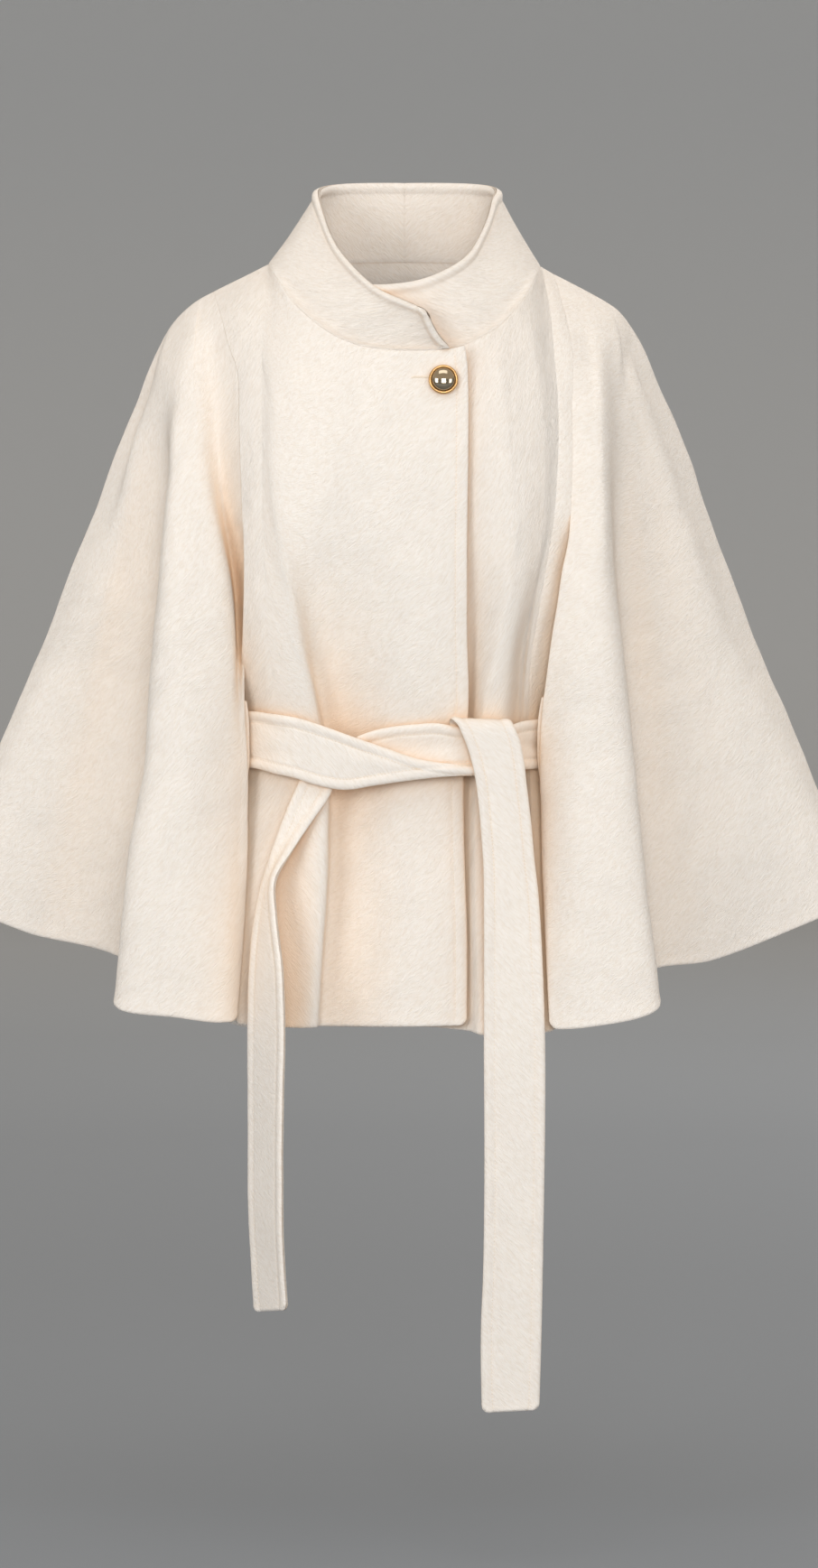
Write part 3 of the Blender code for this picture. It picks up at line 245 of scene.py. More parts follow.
TAIL_R = {
    "left": ((-92, -126, -474), (-99, -126.5, -488), (-109, -127.5, -510), (-120, -130, -537), (-130, -133, -567),
             (-138, -137, -596), (-143, -142, -626), (-146, -147, -661), (-147.5, -152, -706), (-147.5, -154, -780),
             (-147, -154, -859), (-145.5, -152, -922), (-142, -150, -986)),
    "right": ((-62, -127.5, -482), (-69, -128.5, -499), (-87, -134, -525), (-106, -144, -552), (-122, -155, -578),
              (-121.5, -168, -609), (-118, -180, -637), (-115, -188, -660), (-113, -195, -704), (-114, -200, -778),
              (-115, -200, -852), (-114, -197, -919), (-110.5, -193, -978)),
}
BELT_BACK_PATH = ((-176.6, -75.4), (-186, -50), (-186, -10), (-174, 35), (-142, 72), (-90, 96), (-40, 106), (0, 108),
                  (40, 106), (90, 96), (138, 72), (170, 35), (181, -10), (178, -50), (166.6, -73.3))   # (x, y)
BELT_BACK_TOP, BELT_BACK_LOW = -426.0, -477.0
WELT = {   # bound edge of each belt opening: (x, y, z) of the strip's outer line, then its width inwards
    "right": ((-148.6, -104.4, -413), (-147, -104.8, -425), (-146, -105, -452), (-146.6, -105, -478),
              (-149, -105.2, -491)),
    "left": ((129, -120.4, -409), (126.5, -118.6, -424), (125, -116.4, -452), (126, -116.2, -476),
             (128.4, -116.6, -491)),
}
WELT_WIDTH, WELT_WALL = 6.5, 2.0


# ---------------------------------------------------------------- looks that are tuned

NAP_TURN = 0.80          # direction of the nap on the cloth, radians
NAP_STRENGTH = 1.0
WAVE = 0.7                # mm of uneven hand in the cloth
WOOL_LIGHT = (0.930, 0.873, 0.818)
WOOL_DARK = (0.875, 0.797, 0.718)
WOOL_PAINTED_SHADE = (0.93, 0.65, 0.41)     # painted shade: the warm darker colour mixed into the wool where little light reaches
PAINTED_SHADE_REACH = 0.130
FLOOR_Z = -1230.0
PAPER_PAINTED_LIGHT = ((0.0, 0.48), (0.8, 0.24), (2.2, 0.25), (3.5, 0.275), (5.0, 0.345), (7.0, 0.49), (12.0, 0.64), (16.0, 0.65))
PAPER_TINT_AGAINST_WARM_LIGHT = (0.93, 1.0, 1.09)      # tone table above: distance from the middle in metres, tone; painted shade near the middle where the lamps are close, painted light far out on the wall; this tint cools the paper against the warm world light
WORLD = (1.0, 0.87, 0.72)
WORLD_STRENGTH = 0.57
LIGHTS = (
    ("key", (-2.9, -3.5, 0.4), (0, 0, -0.6), (1.8, 1.8), 60.0, (0.98, 1.0, 1.0)),
    ("front", (0.3, -4.9, 0.45), (0, 0, -0.6), (1.8, 1.8), 84.0, (0.975, 1.0, 1.01)),
    ("side", (3.3, -3.3, 0.2), (0, 0, -0.6), (1.8, 1.8), 33.0, (0.975, 1.0, 1.01)),
    ("top", (0.0, -1.5, 2.7), (0, 0.05, -0.1), (2.4, 1.6), 19.0, (1.0, 1.0, 1.0)),
    ("rear", (1.6, 4.0, 3.0), (0, 0, -0.5), (2.4, 2.0), 110.0, (1.0, 1.0, 1.0)),
)

# Creases beyond the fold lines. Key: panel and name; rows down the crest: (x, z, height, half width); then the skew.
FOLDS = {
    "front_r.chest": (((-139, -40, 0, 8), (-139.5, -62, -1.6, 9), (-139.5, -100, -2.4, 10), (-141, -140, -1.6, 10),
                       (-144, -180, 0, 9)), 0.0),
    "cape_r.chest": (((-139, -40, 0, 8), (-139.5, -62, -1.6, 9), (-139.5, -100, -2.4, 10), (-141, -140, -1.6, 10),
                      (-144, -180, 0, 9)), 0.0),
    "cape_r.wing": (((-238, -140, 0, 16), (-268, -298, -6, 22), (-297, -490, -9, 30), (-316, -618, -10, 34),
                     (-325, -690, -9, 34)), 0.0),
    "cape_l.crease": (((215, -66, 0, 5), (214, -85, -2.2, 6), (212, -112, -1.4, 7), (210, -140, 0, 7)), 0.0),
    "cape_l.patch": (((201, -70, 0, 8), (199, -90, -1.6, 9), (201, -125, -1.8, 9), (204, -160, 0, 9)), 0.0),
    "back_l.flute": (((60, -60, 0, 20), (69, -200, 3.5, 24), (77, -400, 5, 28), (84, -600, 6, 30), (88, -745, 6, 32)), 0.25),
    "back_l.trough": (((120, -80, 0, 18), (130, -220, -4, 22), (140, -420, -6, 26), (147, -600, -7, 28),
                       (150, -735, -7, 30)), 0.0),
    "back_l.outer": (((205, -120, 0, 18), (225, -260, 4, 22), (246, -420, 6, 26), (264, -560, 6, 28),
                      (278, -665, 6, 28)), -0.2),
    "back_r.flute": (((-52, -90, 0, 18), (-60, -240, 3, 24), (-70, -430, 5, 30), (-79, -620, 6, 32),
                      (-84, -745, 6, 32)), -0.2),
    "back_r.trough": (((-106, -70, 0, 16), (-118, -230, -4, 22), (-131, -420, -5, 26), (-138, -600, -6.5, 28),
                       (-140, -735, -7, 30)), 0.0),
    "back_r.outer": (((-196, -110, 0, 18), (-214, -240, 3.5, 22), (-234, -400, 5, 26), (-252, -560, 6, 28),
                      (-264, -670, 6, 28)), 0.25),
    "belt_band_right.pull1": (((-150, -428, 0, 4), (-128, -436, -1.6, 5), (-100, -446, 0, 6)), 0.0),
    "belt_band_right.pull2": (((-150, -466, 0, 4), (-126, -462, -1.4, 5), (-95, -458, 0, 6)), 0.0),
    "belt_band_right.twist": (((-70, -462, 0, 5), (-40, -468, 1.2, 7), (0, -473, 1.6, 7), (40, -477, 1.0, 5)), 0.0),
    "belt_band_left.roll1": (((108, -452, -0.5, 4), (125, -455, -2.6, 4), (140, -457, -2.6, 4)), 0.0),
    "belt_band_left.hollow": (((-40, -455, 0, 7), (-5, -456, -2.2, 9), (30, -456, -2.6, 9), (60, -452, -1.0, 8)), 0.0),
}


# ---------------------------------------------------------------- the solids' own curves

def hermite(points, knots, at):
    """Smooth curve through rows of points at the given knots."""
    p, k, at = np.asarray(points, float), np.asarray(knots, float), np.atleast_1d(np.asarray(at, float))
    n = len(k)
    slope = (p[1:] - p[:-1]) / (k[1:] - k[:-1])[:, None]
    tan = np.empty_like(p)
    if n == 2:
        tan[:] = slope[0]
    else:
        a, b = (k[1:-1] - k[:-2])[:, None], (k[2:] - k[1:-1])[:, None]
        tan[1:-1] = (slope[:-1] * b + slope[1:] * a) / (a + b)
        tan[0], tan[-1] = 1.5 * slope[0] - 0.5 * tan[1], 1.5 * slope[-1] - 0.5 * tan[-2]
    i = np.clip(np.searchsorted(k, at, side="right") - 1, 0, n - 2)
    h = (k[i + 1] - k[i])[:, None]
    t = ((at - k[i]) / h[:, 0])[:, None]
    return ((2 * t**3 - 3 * t**2 + 1) * p[i] + (t**3 - 2 * t**2 + t) * h * tan[i]
            + (3 * t**2 - 2 * t**3) * p[i + 1] + (t**3 - t**2) * h * tan[i + 1])


def lengths(points):
    """Running length along a row of points."""
    p = np.asarray(points, float)
    return np.concatenate([[0.0], np.cumsum(np.linalg.norm(np.diff(p, axis=0), axis=1))])


def along(points, shares):
    """Points at shares of the length of the smooth line through the table's rows."""
    p = np.asarray(points, float)
    k = lengths(p)
    dense = hermite(p, k, np.linspace(0, k[-1], 1500))
    run = lengths(dense)
    want = np.asarray(shares, float) * run[-1]
    return np.stack([np.interp(want, run, dense[:, c]) for c in range(dense.shape[1])], axis=1)


def split_line(points, row, shares):
    """As along(), with the table's given row at SLIT_SHARE, so that two lines share the rows above it."""
    shares = np.asarray(shares, float)
    up, down = shares <= SLIT_SHARE + 1e-9, shares > SLIT_SHARE + 1e-9
    out = np.empty((len(shares), 3))
    out[up] = along(points[:row + 1], shares[up] / SLIT_SHARE)
    out[down] = along(points[row:], (shares[down] - SLIT_SHARE) / (1 - SLIT_SHARE))
    return out


def unit(v):
    return v / np.maximum(np.linalg.norm(v, axis=-1, keepdims=True), 1e-9)


def neck_normal(p):
    """Direction out of the neck seam, half way between the collar's and the body's."""
    depth = NECK_FRONT if p[1] < 0 else NECK_BACK
    out = unit(np.array([p[0] / NECK_HALF_WIDTH**2, p[1] / depth**2, 0.0]))
    tilt = 46 - (25 * -out[1] if out[1] < 0 else 38 * out[1])
    tilt = np.radians(tilt)
    return np.array([out[0] * np.cos(tilt), out[1] * np.cos(tilt), np.sin(tilt)])


def grid_normals(grid, sign):
    """Outward directions of a grid of points."""
    du, dv = np.gradient(grid, axis=1), np.gradient(grid, axis=0)
    return unit(np.cross(unit(du), unit(dv))) * sign


def smooth_rows(a, times):
    """Evens a field of directions out between neighbours, so that an offset face stays clean in tight folds."""
    for _ in range(times):
        b = a.copy()
        b[1:-1] = 0.25 * a[:-2] + 0.5 * a[1:-1] + 0.25 * a[2:]
        a = b.copy()
        a[:, 1:-1] = 0.25 * b[:, :-2] + 0.5 * b[:, 1:-1] + 0.25 * b[:, 2:]
    return unit(a)


CAD_SHARES = np.array([0, 0.03, 0.065, 0.105, 0.15, 0.2, 0.25, 0.295, SLIT_SHARE, 0.385, 0.44, 0.5, 0.56, 0.62, 0.69,
                       0.76, 0.84, 0.92, 1.0])
NEAR_EDGE = np.array([0.0, 0.35, 0.8, 1.4, 2.1, 3.1, 4.4, 6.0, 7.8, 9.6, 10.6, 11.3, 12.0, 13.0, 15.2])


def graded(length, first=True, last=True, cell=CELL):
    """Shares of a length, close together at its ends."""
    a = NEAR_EDGE if first else np.array([0.0])
    b = NEAR_EDGE if last else np.array([0.0])
    inner = length - a[-1] - b[-1]
    n = max(2, int(round(inner / cell)))
    mid = a[-1] + inner * np.arange(1, n) / n
    at = np.concatenate([a, mid, (length - b)[::-1]])
    return at / length


def panel_shares(length, top=True, hem=True):
    s = graded(length, top, hem)
    near = int(np.argmin(np.abs(s - SLIT_SHARE)))
    s[near] = SLIT_SHARE
    return s


ROWS = panel_shares(700.0)
ROW_INDEX = np.interp(ROWS, CAD_SHARES, np.arange(len(CAD_SHARES)))


def on_line(line, points):
    """Shares of a line's length nearest to each point."""
    dense = along(line, np.linspace(0, 1, 400))
    return [float(np.argmin(np.linalg.norm(dense - np.asarray(p, float), axis=1))) / 399.0 for p in points]


def knots_and_columns(tops, hems):
    """Spacing of the fold lines across a panel, and the panel's fine columns."""
    mid = 0.35 * np.asarray(tops, float) + 0.65 * np.asarray(hems, float)
    run = lengths(mid)
    knots = np.maximum.accumulate(run + np.arange(len(run)) * 4.0)
    width = run[-1] * 1.08
    return knots / knots[-1], graded(width)


def loft(lines):
    """Grid of points over sampled fold lines (a list of arrays, one point for each row)."""
    knots, cols = knots_and_columns([l[0] for l in lines], [l[-1] for l in lines])
    near = []
    for k in knots[1:-1]:
        j = int(np.argmin(np.abs(cols - k)))
        cols[j] = k
        near.append(j)
    stack = np.stack(lines, axis=1)
    return np.stack([hermite(stack[i], knots, cols) for i in range(len(ROWS))]), knots, cols


def with_top(grid, cols, knots, tops, parts):
    """Moves the first rows so that the top edge follows the given lines. parts: (line, first, last) fold numbers."""
    target = grid[0].copy()
    for line, first, last in parts:
        s = on_line(line, tops[first:last + 1])
        at = np.interp(cols, knots[first:last + 1], s)
        inside = (cols >= knots[first] - 1e-9) & (cols <= knots[last] + 1e-9)
        target[inside] = along(line, at[inside])
    shift = target - grid[0]
    fade = np.clip(1 - ROW_INDEX / 3.04, 0, 1)**2
    return grid + fade[:, None, None] * shift[None]


def flat_line(table):
    return [(x, 0.0, z) for x, z in table]


def rolled(arm, side):
    """Line just inside the overarm line that makes it round, on the front (-1) or the back (+1)."""
    d = np.gradient(arm, axis=0)
    inward = unit(np.stack([-d[:, 2], np.zeros(len(d)), d[:, 0]], axis=1))
    inward *= -np.sign(arm[len(arm) // 2, 0]) * np.sign(inward[len(arm) // 2, 0])
    out = arm + inward * ROLL_IN
    out[:, 1] = side * ROLL_DEPTH
    grow = np.clip(ROW_INDEX / 3.0, 0.45, 1)
    return arm + (out - arm) * grow[:, None]


def seam_plane_normals(points):
    """Outward directions in the plane of the overarm and shoulder lines."""
    d = unit(np.gradient(points, axis=0))
    n = np.stack([-d[:, 2], np.zeros(len(d)), d[:, 0]], axis=1)
    n = unit(n)
    flip = np.where(n[:, 2] + 0.3 * np.abs(n[:, 0]) * np.sign(n[:, 0] * points[:, 0]) < 0, -1.0, 1.0)
    return n * flip[:, None]


def set_neck(grid, normals, columns):
    for j in columns:
        normals[0, j] = neck_normal(grid[0, j])


def blend_rim(grid, normals, rows=(), cols=()):
    """Carries the directions set on an edge a little way into the panel."""
    for i0, step in rows:
        d = np.linalg.norm(grid - grid[i0][None], axis=2)
        w = np.clip(1 - d / 9.0, 0, 1)[..., None]**2
        normals[:] = unit(normals * (1 - w) + normals[i0][None] * w)
    for j0 in cols:
        d = np.linalg.norm(grid - grid[:, j0][:, None], axis=2)
        w = np.clip(1 - d / 9.0, 0, 1)[..., None]**2
        normals[:] = unit(normals * (1 - w) + normals[:, j0][:, None] * w)
    return normals


def build_front(table, shoulder, neck_seam, neck_fold, slit_row, sign):
    names = list(table)
    lines = [along(table[n], ROWS) for n in names[:-1]] + [split_line(table["side"], slit_row, ROWS)]
    grid, knots, cols = loft(lines)
    tops = [table[n][0] for n in names]
    last = len(names) - 1
    grid = with_top(grid, cols, knots, tops,
                    [(neck_seam, 0, neck_fold), (flat_line(shoulder), neck_fold, last)])
    normals = grid_normals(grid, sign)
    corner = int(np.argmin(np.abs(cols - knots[neck_fold])))
    set_neck(grid, normals, range(corner + 1))
    normals[0, corner + 1:] = seam_plane_normals(grid[0, corner:])[1:]
    grid[0, corner:, 1] = -0.5 * SEAM_GAP
    return grid, blend_rim(grid, normals, rows=[(0, 1)]), corner


def build_cape(table, shoulder, arm_table, slit_row, sign):
    names = list(table)
    arm = along(flat_line(arm_table), ROWS)
    lines = [split_line(table["edge"], slit_row, ROWS)] + [along(table[n], ROWS) for n in names[1:]]
    lines += [rolled(arm, -1), arm]
    grid, knots, cols = loft(lines)
    tops = [l[0] for l in lines]
    tops[-2] = np.array(shoulder[-2] + (0,))[[0, 2, 1]] * 0.5 + np.array(arm[0]) * 0.5
    grid = with_top(grid, cols, knots, tops, [(flat_line(shoulder), 0, len(lines) - 1)])
    normals = grid_normals(grid, sign)
    grid[0, :, 1] = -0.5 * SEAM_GAP
    grid[:, -1, 1] = -0.5 * SEAM_GAP
    normals[0, :] = seam_plane_normals(grid[0])
    normals[:, -1] = seam_plane_normals(grid[:, -1])
    normals[0, -1] = unit(normals[0, -2] + normals[1, -1])
    return grid, blend_rim(grid, normals, rows=[(0, 1)], cols=[-1])


def build_back(shoulder, arm_table, side, sign):
    table = {n: [(side * x, y, z) for x, y, z in rows] for n, rows in BACK.items()}
    arm = along(flat_line(arm_table), ROWS)
    table["neck"][0] = (shoulder[0][0], 0, shoulder[0][1])
    names = list(table)
    lines = [along(table[n], ROWS) for n in names] + [rolled(arm, 1), arm]
    grid, knots, cols = loft(lines)
    ring = [(side * x, y, z) for x, y, z in ((0, 80, 8), (36, 77, 7.5), (66, 69, 6), (90, 58, 5), (108, 45, 4),
                                             (123, 26, 3))] + [(shoulder[0][0], 0, shoulder[0][1])]
    tops = [l[0] for l in lines]
    tops[-2] = np.array((shoulder[-2][0], 0, shoulder[-2][1])) * 0.5 + np.array(arm[0]) * 0.5
    grid = with_top(grid, cols, knots, tops, [(ring, 0, 2), (flat_line(shoulder), 2, len(lines) - 1)])
    normals = grid_normals(grid, sign)
    corner = int(np.argmin(np.abs(cols - knots[2])))
    set_neck(grid, normals, range(corner + 1))
    grid[0, corner:, 1] = 0.5 * SEAM_GAP
    grid[:, -1, 1] = 0.5 * SEAM_GAP
    normals[0, corner + 1:] = seam_plane_normals(grid[0, corner:])[1:]
    normals[:, -1] = seam_plane_normals(grid[:, -1])
    normals[0, -1] = unit(normals[0, -2] + normals[1, -1])
    grid[:, 0, 0] = side * 0.5 * SEAM_GAP
    normals[1:, 0, 0] = 0
    normals[:, 0] = unit(normals[:, 0])
    return grid, blend_rim(grid, normals, rows=[(0, 1)], cols=[-1, 0]), corner


def join_seam(front, front_n, cape, cape_n):
    """Shares the rim directions of the princess seam above the arm slit and parts the two panels by the seam gap."""
    rows = int(np.sum(ROWS <= SLIT_SHARE + 1e-9))
    both = unit(front_n[1:rows, -1] + cape_n[1:rows, 0])
    fade = np.clip((SLIT_SHARE - ROWS[1:rows]) / 0.05, 0, 1)[:, None]
    front_n[1:rows, -1] = unit(both * fade + front_n[1:rows, -1] * (1 - fade))
    cape_n[1:rows, 0] = unit(both * fade + cape_n[1:rows, 0] * (1 - fade))
    cape_n[0, 0] = front_n[0, -1]
    for i in range(rows):
        n = front_n[i, -1]
        a = front[i, -4] - front[i, -1]
        a = a - n * np.dot(a, n)
        a = a / np.linalg.norm(a)
        if i == 0:
            a[1] = 0
        front[i, -1] += a * 0.5 * SEAM_GAP
        cape[i, 0] = front[i, -1] - a * SEAM_GAP
        cape[i, 0, 1] = min(cape[i, 0, 1], -0.5 * SEAM_GAP)
        front[i, -1, 1] = min(front[i, -1, 1], -0.5 * SEAM_GAP)
    for g, nn, j in ((front, front_n, -1), (cape, cape_n, 0)):
        d = np.linalg.norm(g[:rows] - g[:rows, j][:, None], axis=2)
        w = (np.clip(1 - d / 7.0, 0, 1)**2)[..., None]
        w[0] = 0
        nn[:rows] = unit(nn[:rows] * (1 - w) + nn[:rows, j][:, None] * w)


def build_collar(stations, end, side, front, back, front_corner, back_corner):
    """Half of the collar: columns stand on the points of the back's and the front's neck edges."""
    stations = np.asarray(stations, float)
    low = [back[0, j] for j in range(back_corner)] + [0.5 * (back[0, back_corner] + front[0, front_corner])]
    low += [front[0, j] for j in range(front_corner - 1, -1, -1)]
    low = np.array(low)
    stop = end[0][0] if end is not None else None
    run = lengths(low)
    total = run[-1]
    if stop is not None:
        k = int(np.argmax((np.arange(len(low)) > back_corner) & (low[:, 0] >= stop)))
        total = run[k - 1] + (run[k] - run[k - 1]) * (stop - low[k - 1, 0]) / (low[k, 0] - low[k - 1, 0])
    want = graded(total, True, True, 4.4) * total
    low = np.stack([np.interp(want, run, low[:, c]) for c in range(3)], axis=1)
    k = lengths(stations[:, 0])
    dense = np.linspace(0, k[-1], 1200)
    seam = hermite(stations[:, 0], k, dense)
    at = [dense[int(np.argmin(np.linalg.norm(seam - p, axis=1)))] for p in low]
    at = np.maximum.accumulate(at)
    ramp = np.linspace(at[0], at[-1], len(at))
    at = 0.999 * at + 0.001 * ramp
    high = hermite(stations[:, 1], k, at)
    for _ in range(14):
        high[1:-1] = 0.25 * high[:-2] + 0.5 * high[1:-1] + 0.25 * high[2:]
    rows = graded(92.0, True, True, 4.0)
    grid = np.empty((len(rows), len(low), 3))
    for j in range(len(low)):
        out = neck_normal(low[j])
        out[2] = 0
        for i, r in enumerate(rows):
            up = r * np.linalg.norm(high[j] - low[j])
            dip = 4.2 * min(max((-low[j][1] - 15) / 45, 0), 1) * (1 - math.exp(-(up / 3.2)**2)) * math.exp(-(up / 17)**2)
            grid[i, j] = low[j] * (1 - r) + high[j] * r - unit(out) * (6.4 * r * (1 - r) + dip)
    if end is not None:
        edge = along(end, rows)
        back_off = total - want
        fade = np.clip(1 - back_off / 34.0, 0, 1)**2
        grid += fade[None, :, None] * (edge - grid[:, -1])[:, None, :]
        grid[0] = low
    for j in range(len(low)):
        n = neck_normal(low[j])
        up = grid[3, j] - grid[0, j]
        up = up - n * np.dot(up, n)
        grid[0, j] += up / np.linalg.norm(up) * SEAM_GAP
        grid[1, j] = 0.5 * (grid[0, j] + grid[2, j])
    normals = grid_normals(grid, side)
    set_neck(grid, normals, range(len(low)))
    grid[:, 0, 0] = side * -0.5 * SEAM_GAP
    normals[:, 0, 0] = 0
    normals[:, 0] = unit(normals[:, 0])
    return grid, blend_rim(grid, normals, rows=[(0, 1)], cols=[0])


def build_ribbon(table, width, sign, cell=CELL):
    """Belt stretch between its two edges."""
    names = list(table)
    span = lengths(along(table[names[0]], np.linspace(0, 1, 200)))[-1]
    shares = graded(span, True, True, cell)
    first, second = (along(table[n], shares) for n in names)
    across = graded(width, True, True, 3.6)
    grid = np.stack([first * (1 - s) + second * s for s in across], axis=1)
    return grid, grid_normals(grid, sign)


# ---------------------------------------------------------------- cloth details

def wobble(p, size, seed):
    """Smooth uneven field, about -1 to 1, with bumps of roughly the given size."""
    q = p / size
    s = np.zeros(p.shape[:-1])
    for k, (a, b, c, f) in enumerate(((1.0, 0.4, 0.7, 0.3), (-0.6, 1.1, 0.9, 1.7), (0.5, -0.8, 1.3, 4.1),
                                      (1.3, 0.9, -0.4, 2.9), (-0.9, 0.7, 0.55, 5.3))):
        s = s + np.sin(2.1 * (a * q[..., 0] + b * q[..., 1] + c * q[..., 2]) + f + seed * (1.3 + k * 0.77))
    return s / 3.0


def fold_field(grid, rows, skew=0.0):
    """Height of one soft fold. rows are (x, z, height, width) down its crest, seen from the front or back; skew makes
    the side towards +X (or -X if negative) steeper."""
    r = np.asarray(rows, float)
    x, z = grid[..., 0], grid[..., 2]
    best = np.full(x.shape, 1e9)
    high, wide, side = np.zeros(x.shape), np.ones(x.shape), np.zeros(x.shape)
    for a, b in zip(r[:-1], r[1:]):
        dx, dz = b[0] - a[0], b[1] - a[1]
        t = np.clip(((x - a[0]) * dx + (z - a[1]) * dz) / (dx * dx + dz * dz), 0, 1)
        px, pz = a[0] + t * dx, a[1] + t * dz
        d = np.hypot(x - px, z - pz)
        near = d < best
        best = np.where(near, d, best)
        high = np.where(near, a[2] + (b[2] - a[2]) * t, high)
        wide = np.where(near, a[3] + (b[3] - a[3]) * t, wide)
        side = np.where(near, np.sign(x - px), side)
    wide = wide * (1 - skew * side)
    return high * np.exp(-(best / np.maximum(wide, 0.5))**2)


def edge_distances(grid):
    """Distance of each point from the first column, last column, first row and last row, along the cloth."""
    across = np.linalg.norm(np.diff(grid, axis=1), axis=2)
    down = np.linalg.norm(np.diff(grid, axis=0), axis=2)
    left = np.concatenate([np.zeros((grid.shape[0], 1)), np.cumsum(across, axis=1)], axis=1)
    top = np.concatenate([np.zeros((1, grid.shape[1])), np.cumsum(down, axis=0)], axis=0)
    return {"first": left, "last": left[:, -1:] - left, "top": top, "hem": top[-1:] - top}


def round_corner(grid, dist, a, b, radius):
    """Rounds the corner between two free edges."""
    da, db = dist[a], dist[b]
    inside = (da < radius) & (db < radius)
    u, v = np.clip(radius - da, 0, radius), np.clip(radius - db, 0, radius)
    m = np.maximum(u, v)
    r = np.hypot(u, v)
    k = np.where(r > 1e-9, m / np.maximum(r, 1e-9), 1.0)
    i = 0 if "top" in (a, b) else grid.shape[0] - 1
    j = 0 if "first" in (a, b) else grid.shape[1] - 1
    si, sj = (1 if i == 0 else -1), (1 if j == 0 else -1)
    along_row = unit(grid[i, j + sj * 8] - grid[i, j])       # away from the side edge
    along_col = unit(grid[i + si * 8, j] - grid[i, j])       # away from the top or hem edge
    move_a = u * (1 - k)
    move_b = v * (1 - k)
    ta = along_row if a in ("first", "last") else along_col
    tb = along_row if b in ("first", "last") else along_col
    shift = move_a[..., None] * ta + move_b[..., None] * tb
    grid = grid + np.where(inside[..., None], shift, 0)
    return grid


def edge_wave(dist, kind, weight):
    """Rounding share, outward swell and groove near one edge."""
    d = dist
    roll = np.sqrt(np.clip(1 - (1 - np.clip(d / 2.3, 0, 1))**2, 0.0, 1))
    roll = 0.10 + 0.90 * roll
    swell = np.zeros_like(d)
    if kind == "seam":
        swell = -0.45 * np.exp(-(d / 1.7)**2)
        roll = np.ones_like(d)
    elif kind == "stitched":
        swell = 0.8 * np.exp(-((d - 4.6) / 4.6)**2) - 0.65 * np.exp(-((d - STITCH_IN) / 1.3)**2)
        swell += 0.25 * np.exp(-((d - 15.5) / 3.0)**2)
    elif kind == "hem":
        swell = 0.45 * np.exp(-((d - 3.0) / 5.5)**2)
    elif kind == "collar":
        roll = 0.08 + 0.92 * np.sqrt(np.clip(1 - (1 - np.clip(d / 4.6, 0, 1))**2, 0.0, 1))
        swell = 2.8 * np.exp(-((d - 4.9) / 4.6)**2) - 0.5 * np.exp(-((d - 11.4) / 1.7)**2)
    elif kind == "belt":
        roll = 0.10 + 0.90 * np.sqrt(np.clip(1 - (1 - np.clip(d / 3.0, 0, 1))**2, 0.0, 1))
        swell = 1.1 * np.exp(-((d - 4.4) / 4.0)**2) - 0.75 * np.exp(-((d - 9.9) / 1.3)**2)
    elif kind == "plain":
        swell = 0.35 * np.exp(-((d - 3.0) / 3.0)**2)
    elif kind == "none":
        roll = np.ones_like(d)
    return 1 - weight * (1 - roll), weight * swell


def cloth_wall(name, grid, normals, thickness, edges, folds=(), wave=0.5, both=False, corners=(), u0="first",
               inner_folds=0.0):
    """Closed cloth wall with rounded free edges. edges: {first, last, top, hem: kind}; folds: height fields."""
    for a, b, radius in corners:
        grid = round_corner(grid, edge_distances(grid), a, b, radius)
    dist = edge_distances(grid)
    roll = np.ones(grid.shape[:2])
    out = np.zeros(grid.shape[:2])
    for side, kind in edges.items():
        if kind in ("slit", "slit_hem"):
            w = np.clip((ROWS - SLIT_SHARE) / 0.02, 0, 1)[:, None] * np.ones((1, grid.shape[1]))
            r1, s1 = edge_wave(dist[side], "seam", (1 - w) * 0.35)
            r2, s2 = edge_wave(dist[side], "hem", w)
            roll, out = roll * r1 * r2, out + s1 + s2
        else:
            r1, s1 = edge_wave(dist[side], kind, np.ones(grid.shape[:2]))
            roll, out = roll * r1, out + s1
    soft = np.zeros(grid.shape[:2])
    for f in folds:
        soft = soft + f
    soft = soft + wave * wobble(grid, 46.0, 1.0) + 0.35 * wave * wobble(grid, 17.0, 2.0)
    calm = np.clip(np.minimum.reduce([dist[s] for s in ("top",)]) / 12.0, 0.25, 1)
    soft = soft * calm
    base = grid + normals * soft[..., None]
    half = thickness * 0.5
    top = base + normals * (out - half * (1 - roll))[..., None]
    back_out = out * (0.75 if both else 0.0)
    low = base - normals * (thickness + back_out - half * (1 - roll))[..., None]
    u = dist["first"] if u0 == "first" else -dist["last"]
    return make_wall(name, top, low, u, dist["top"]), base, dist


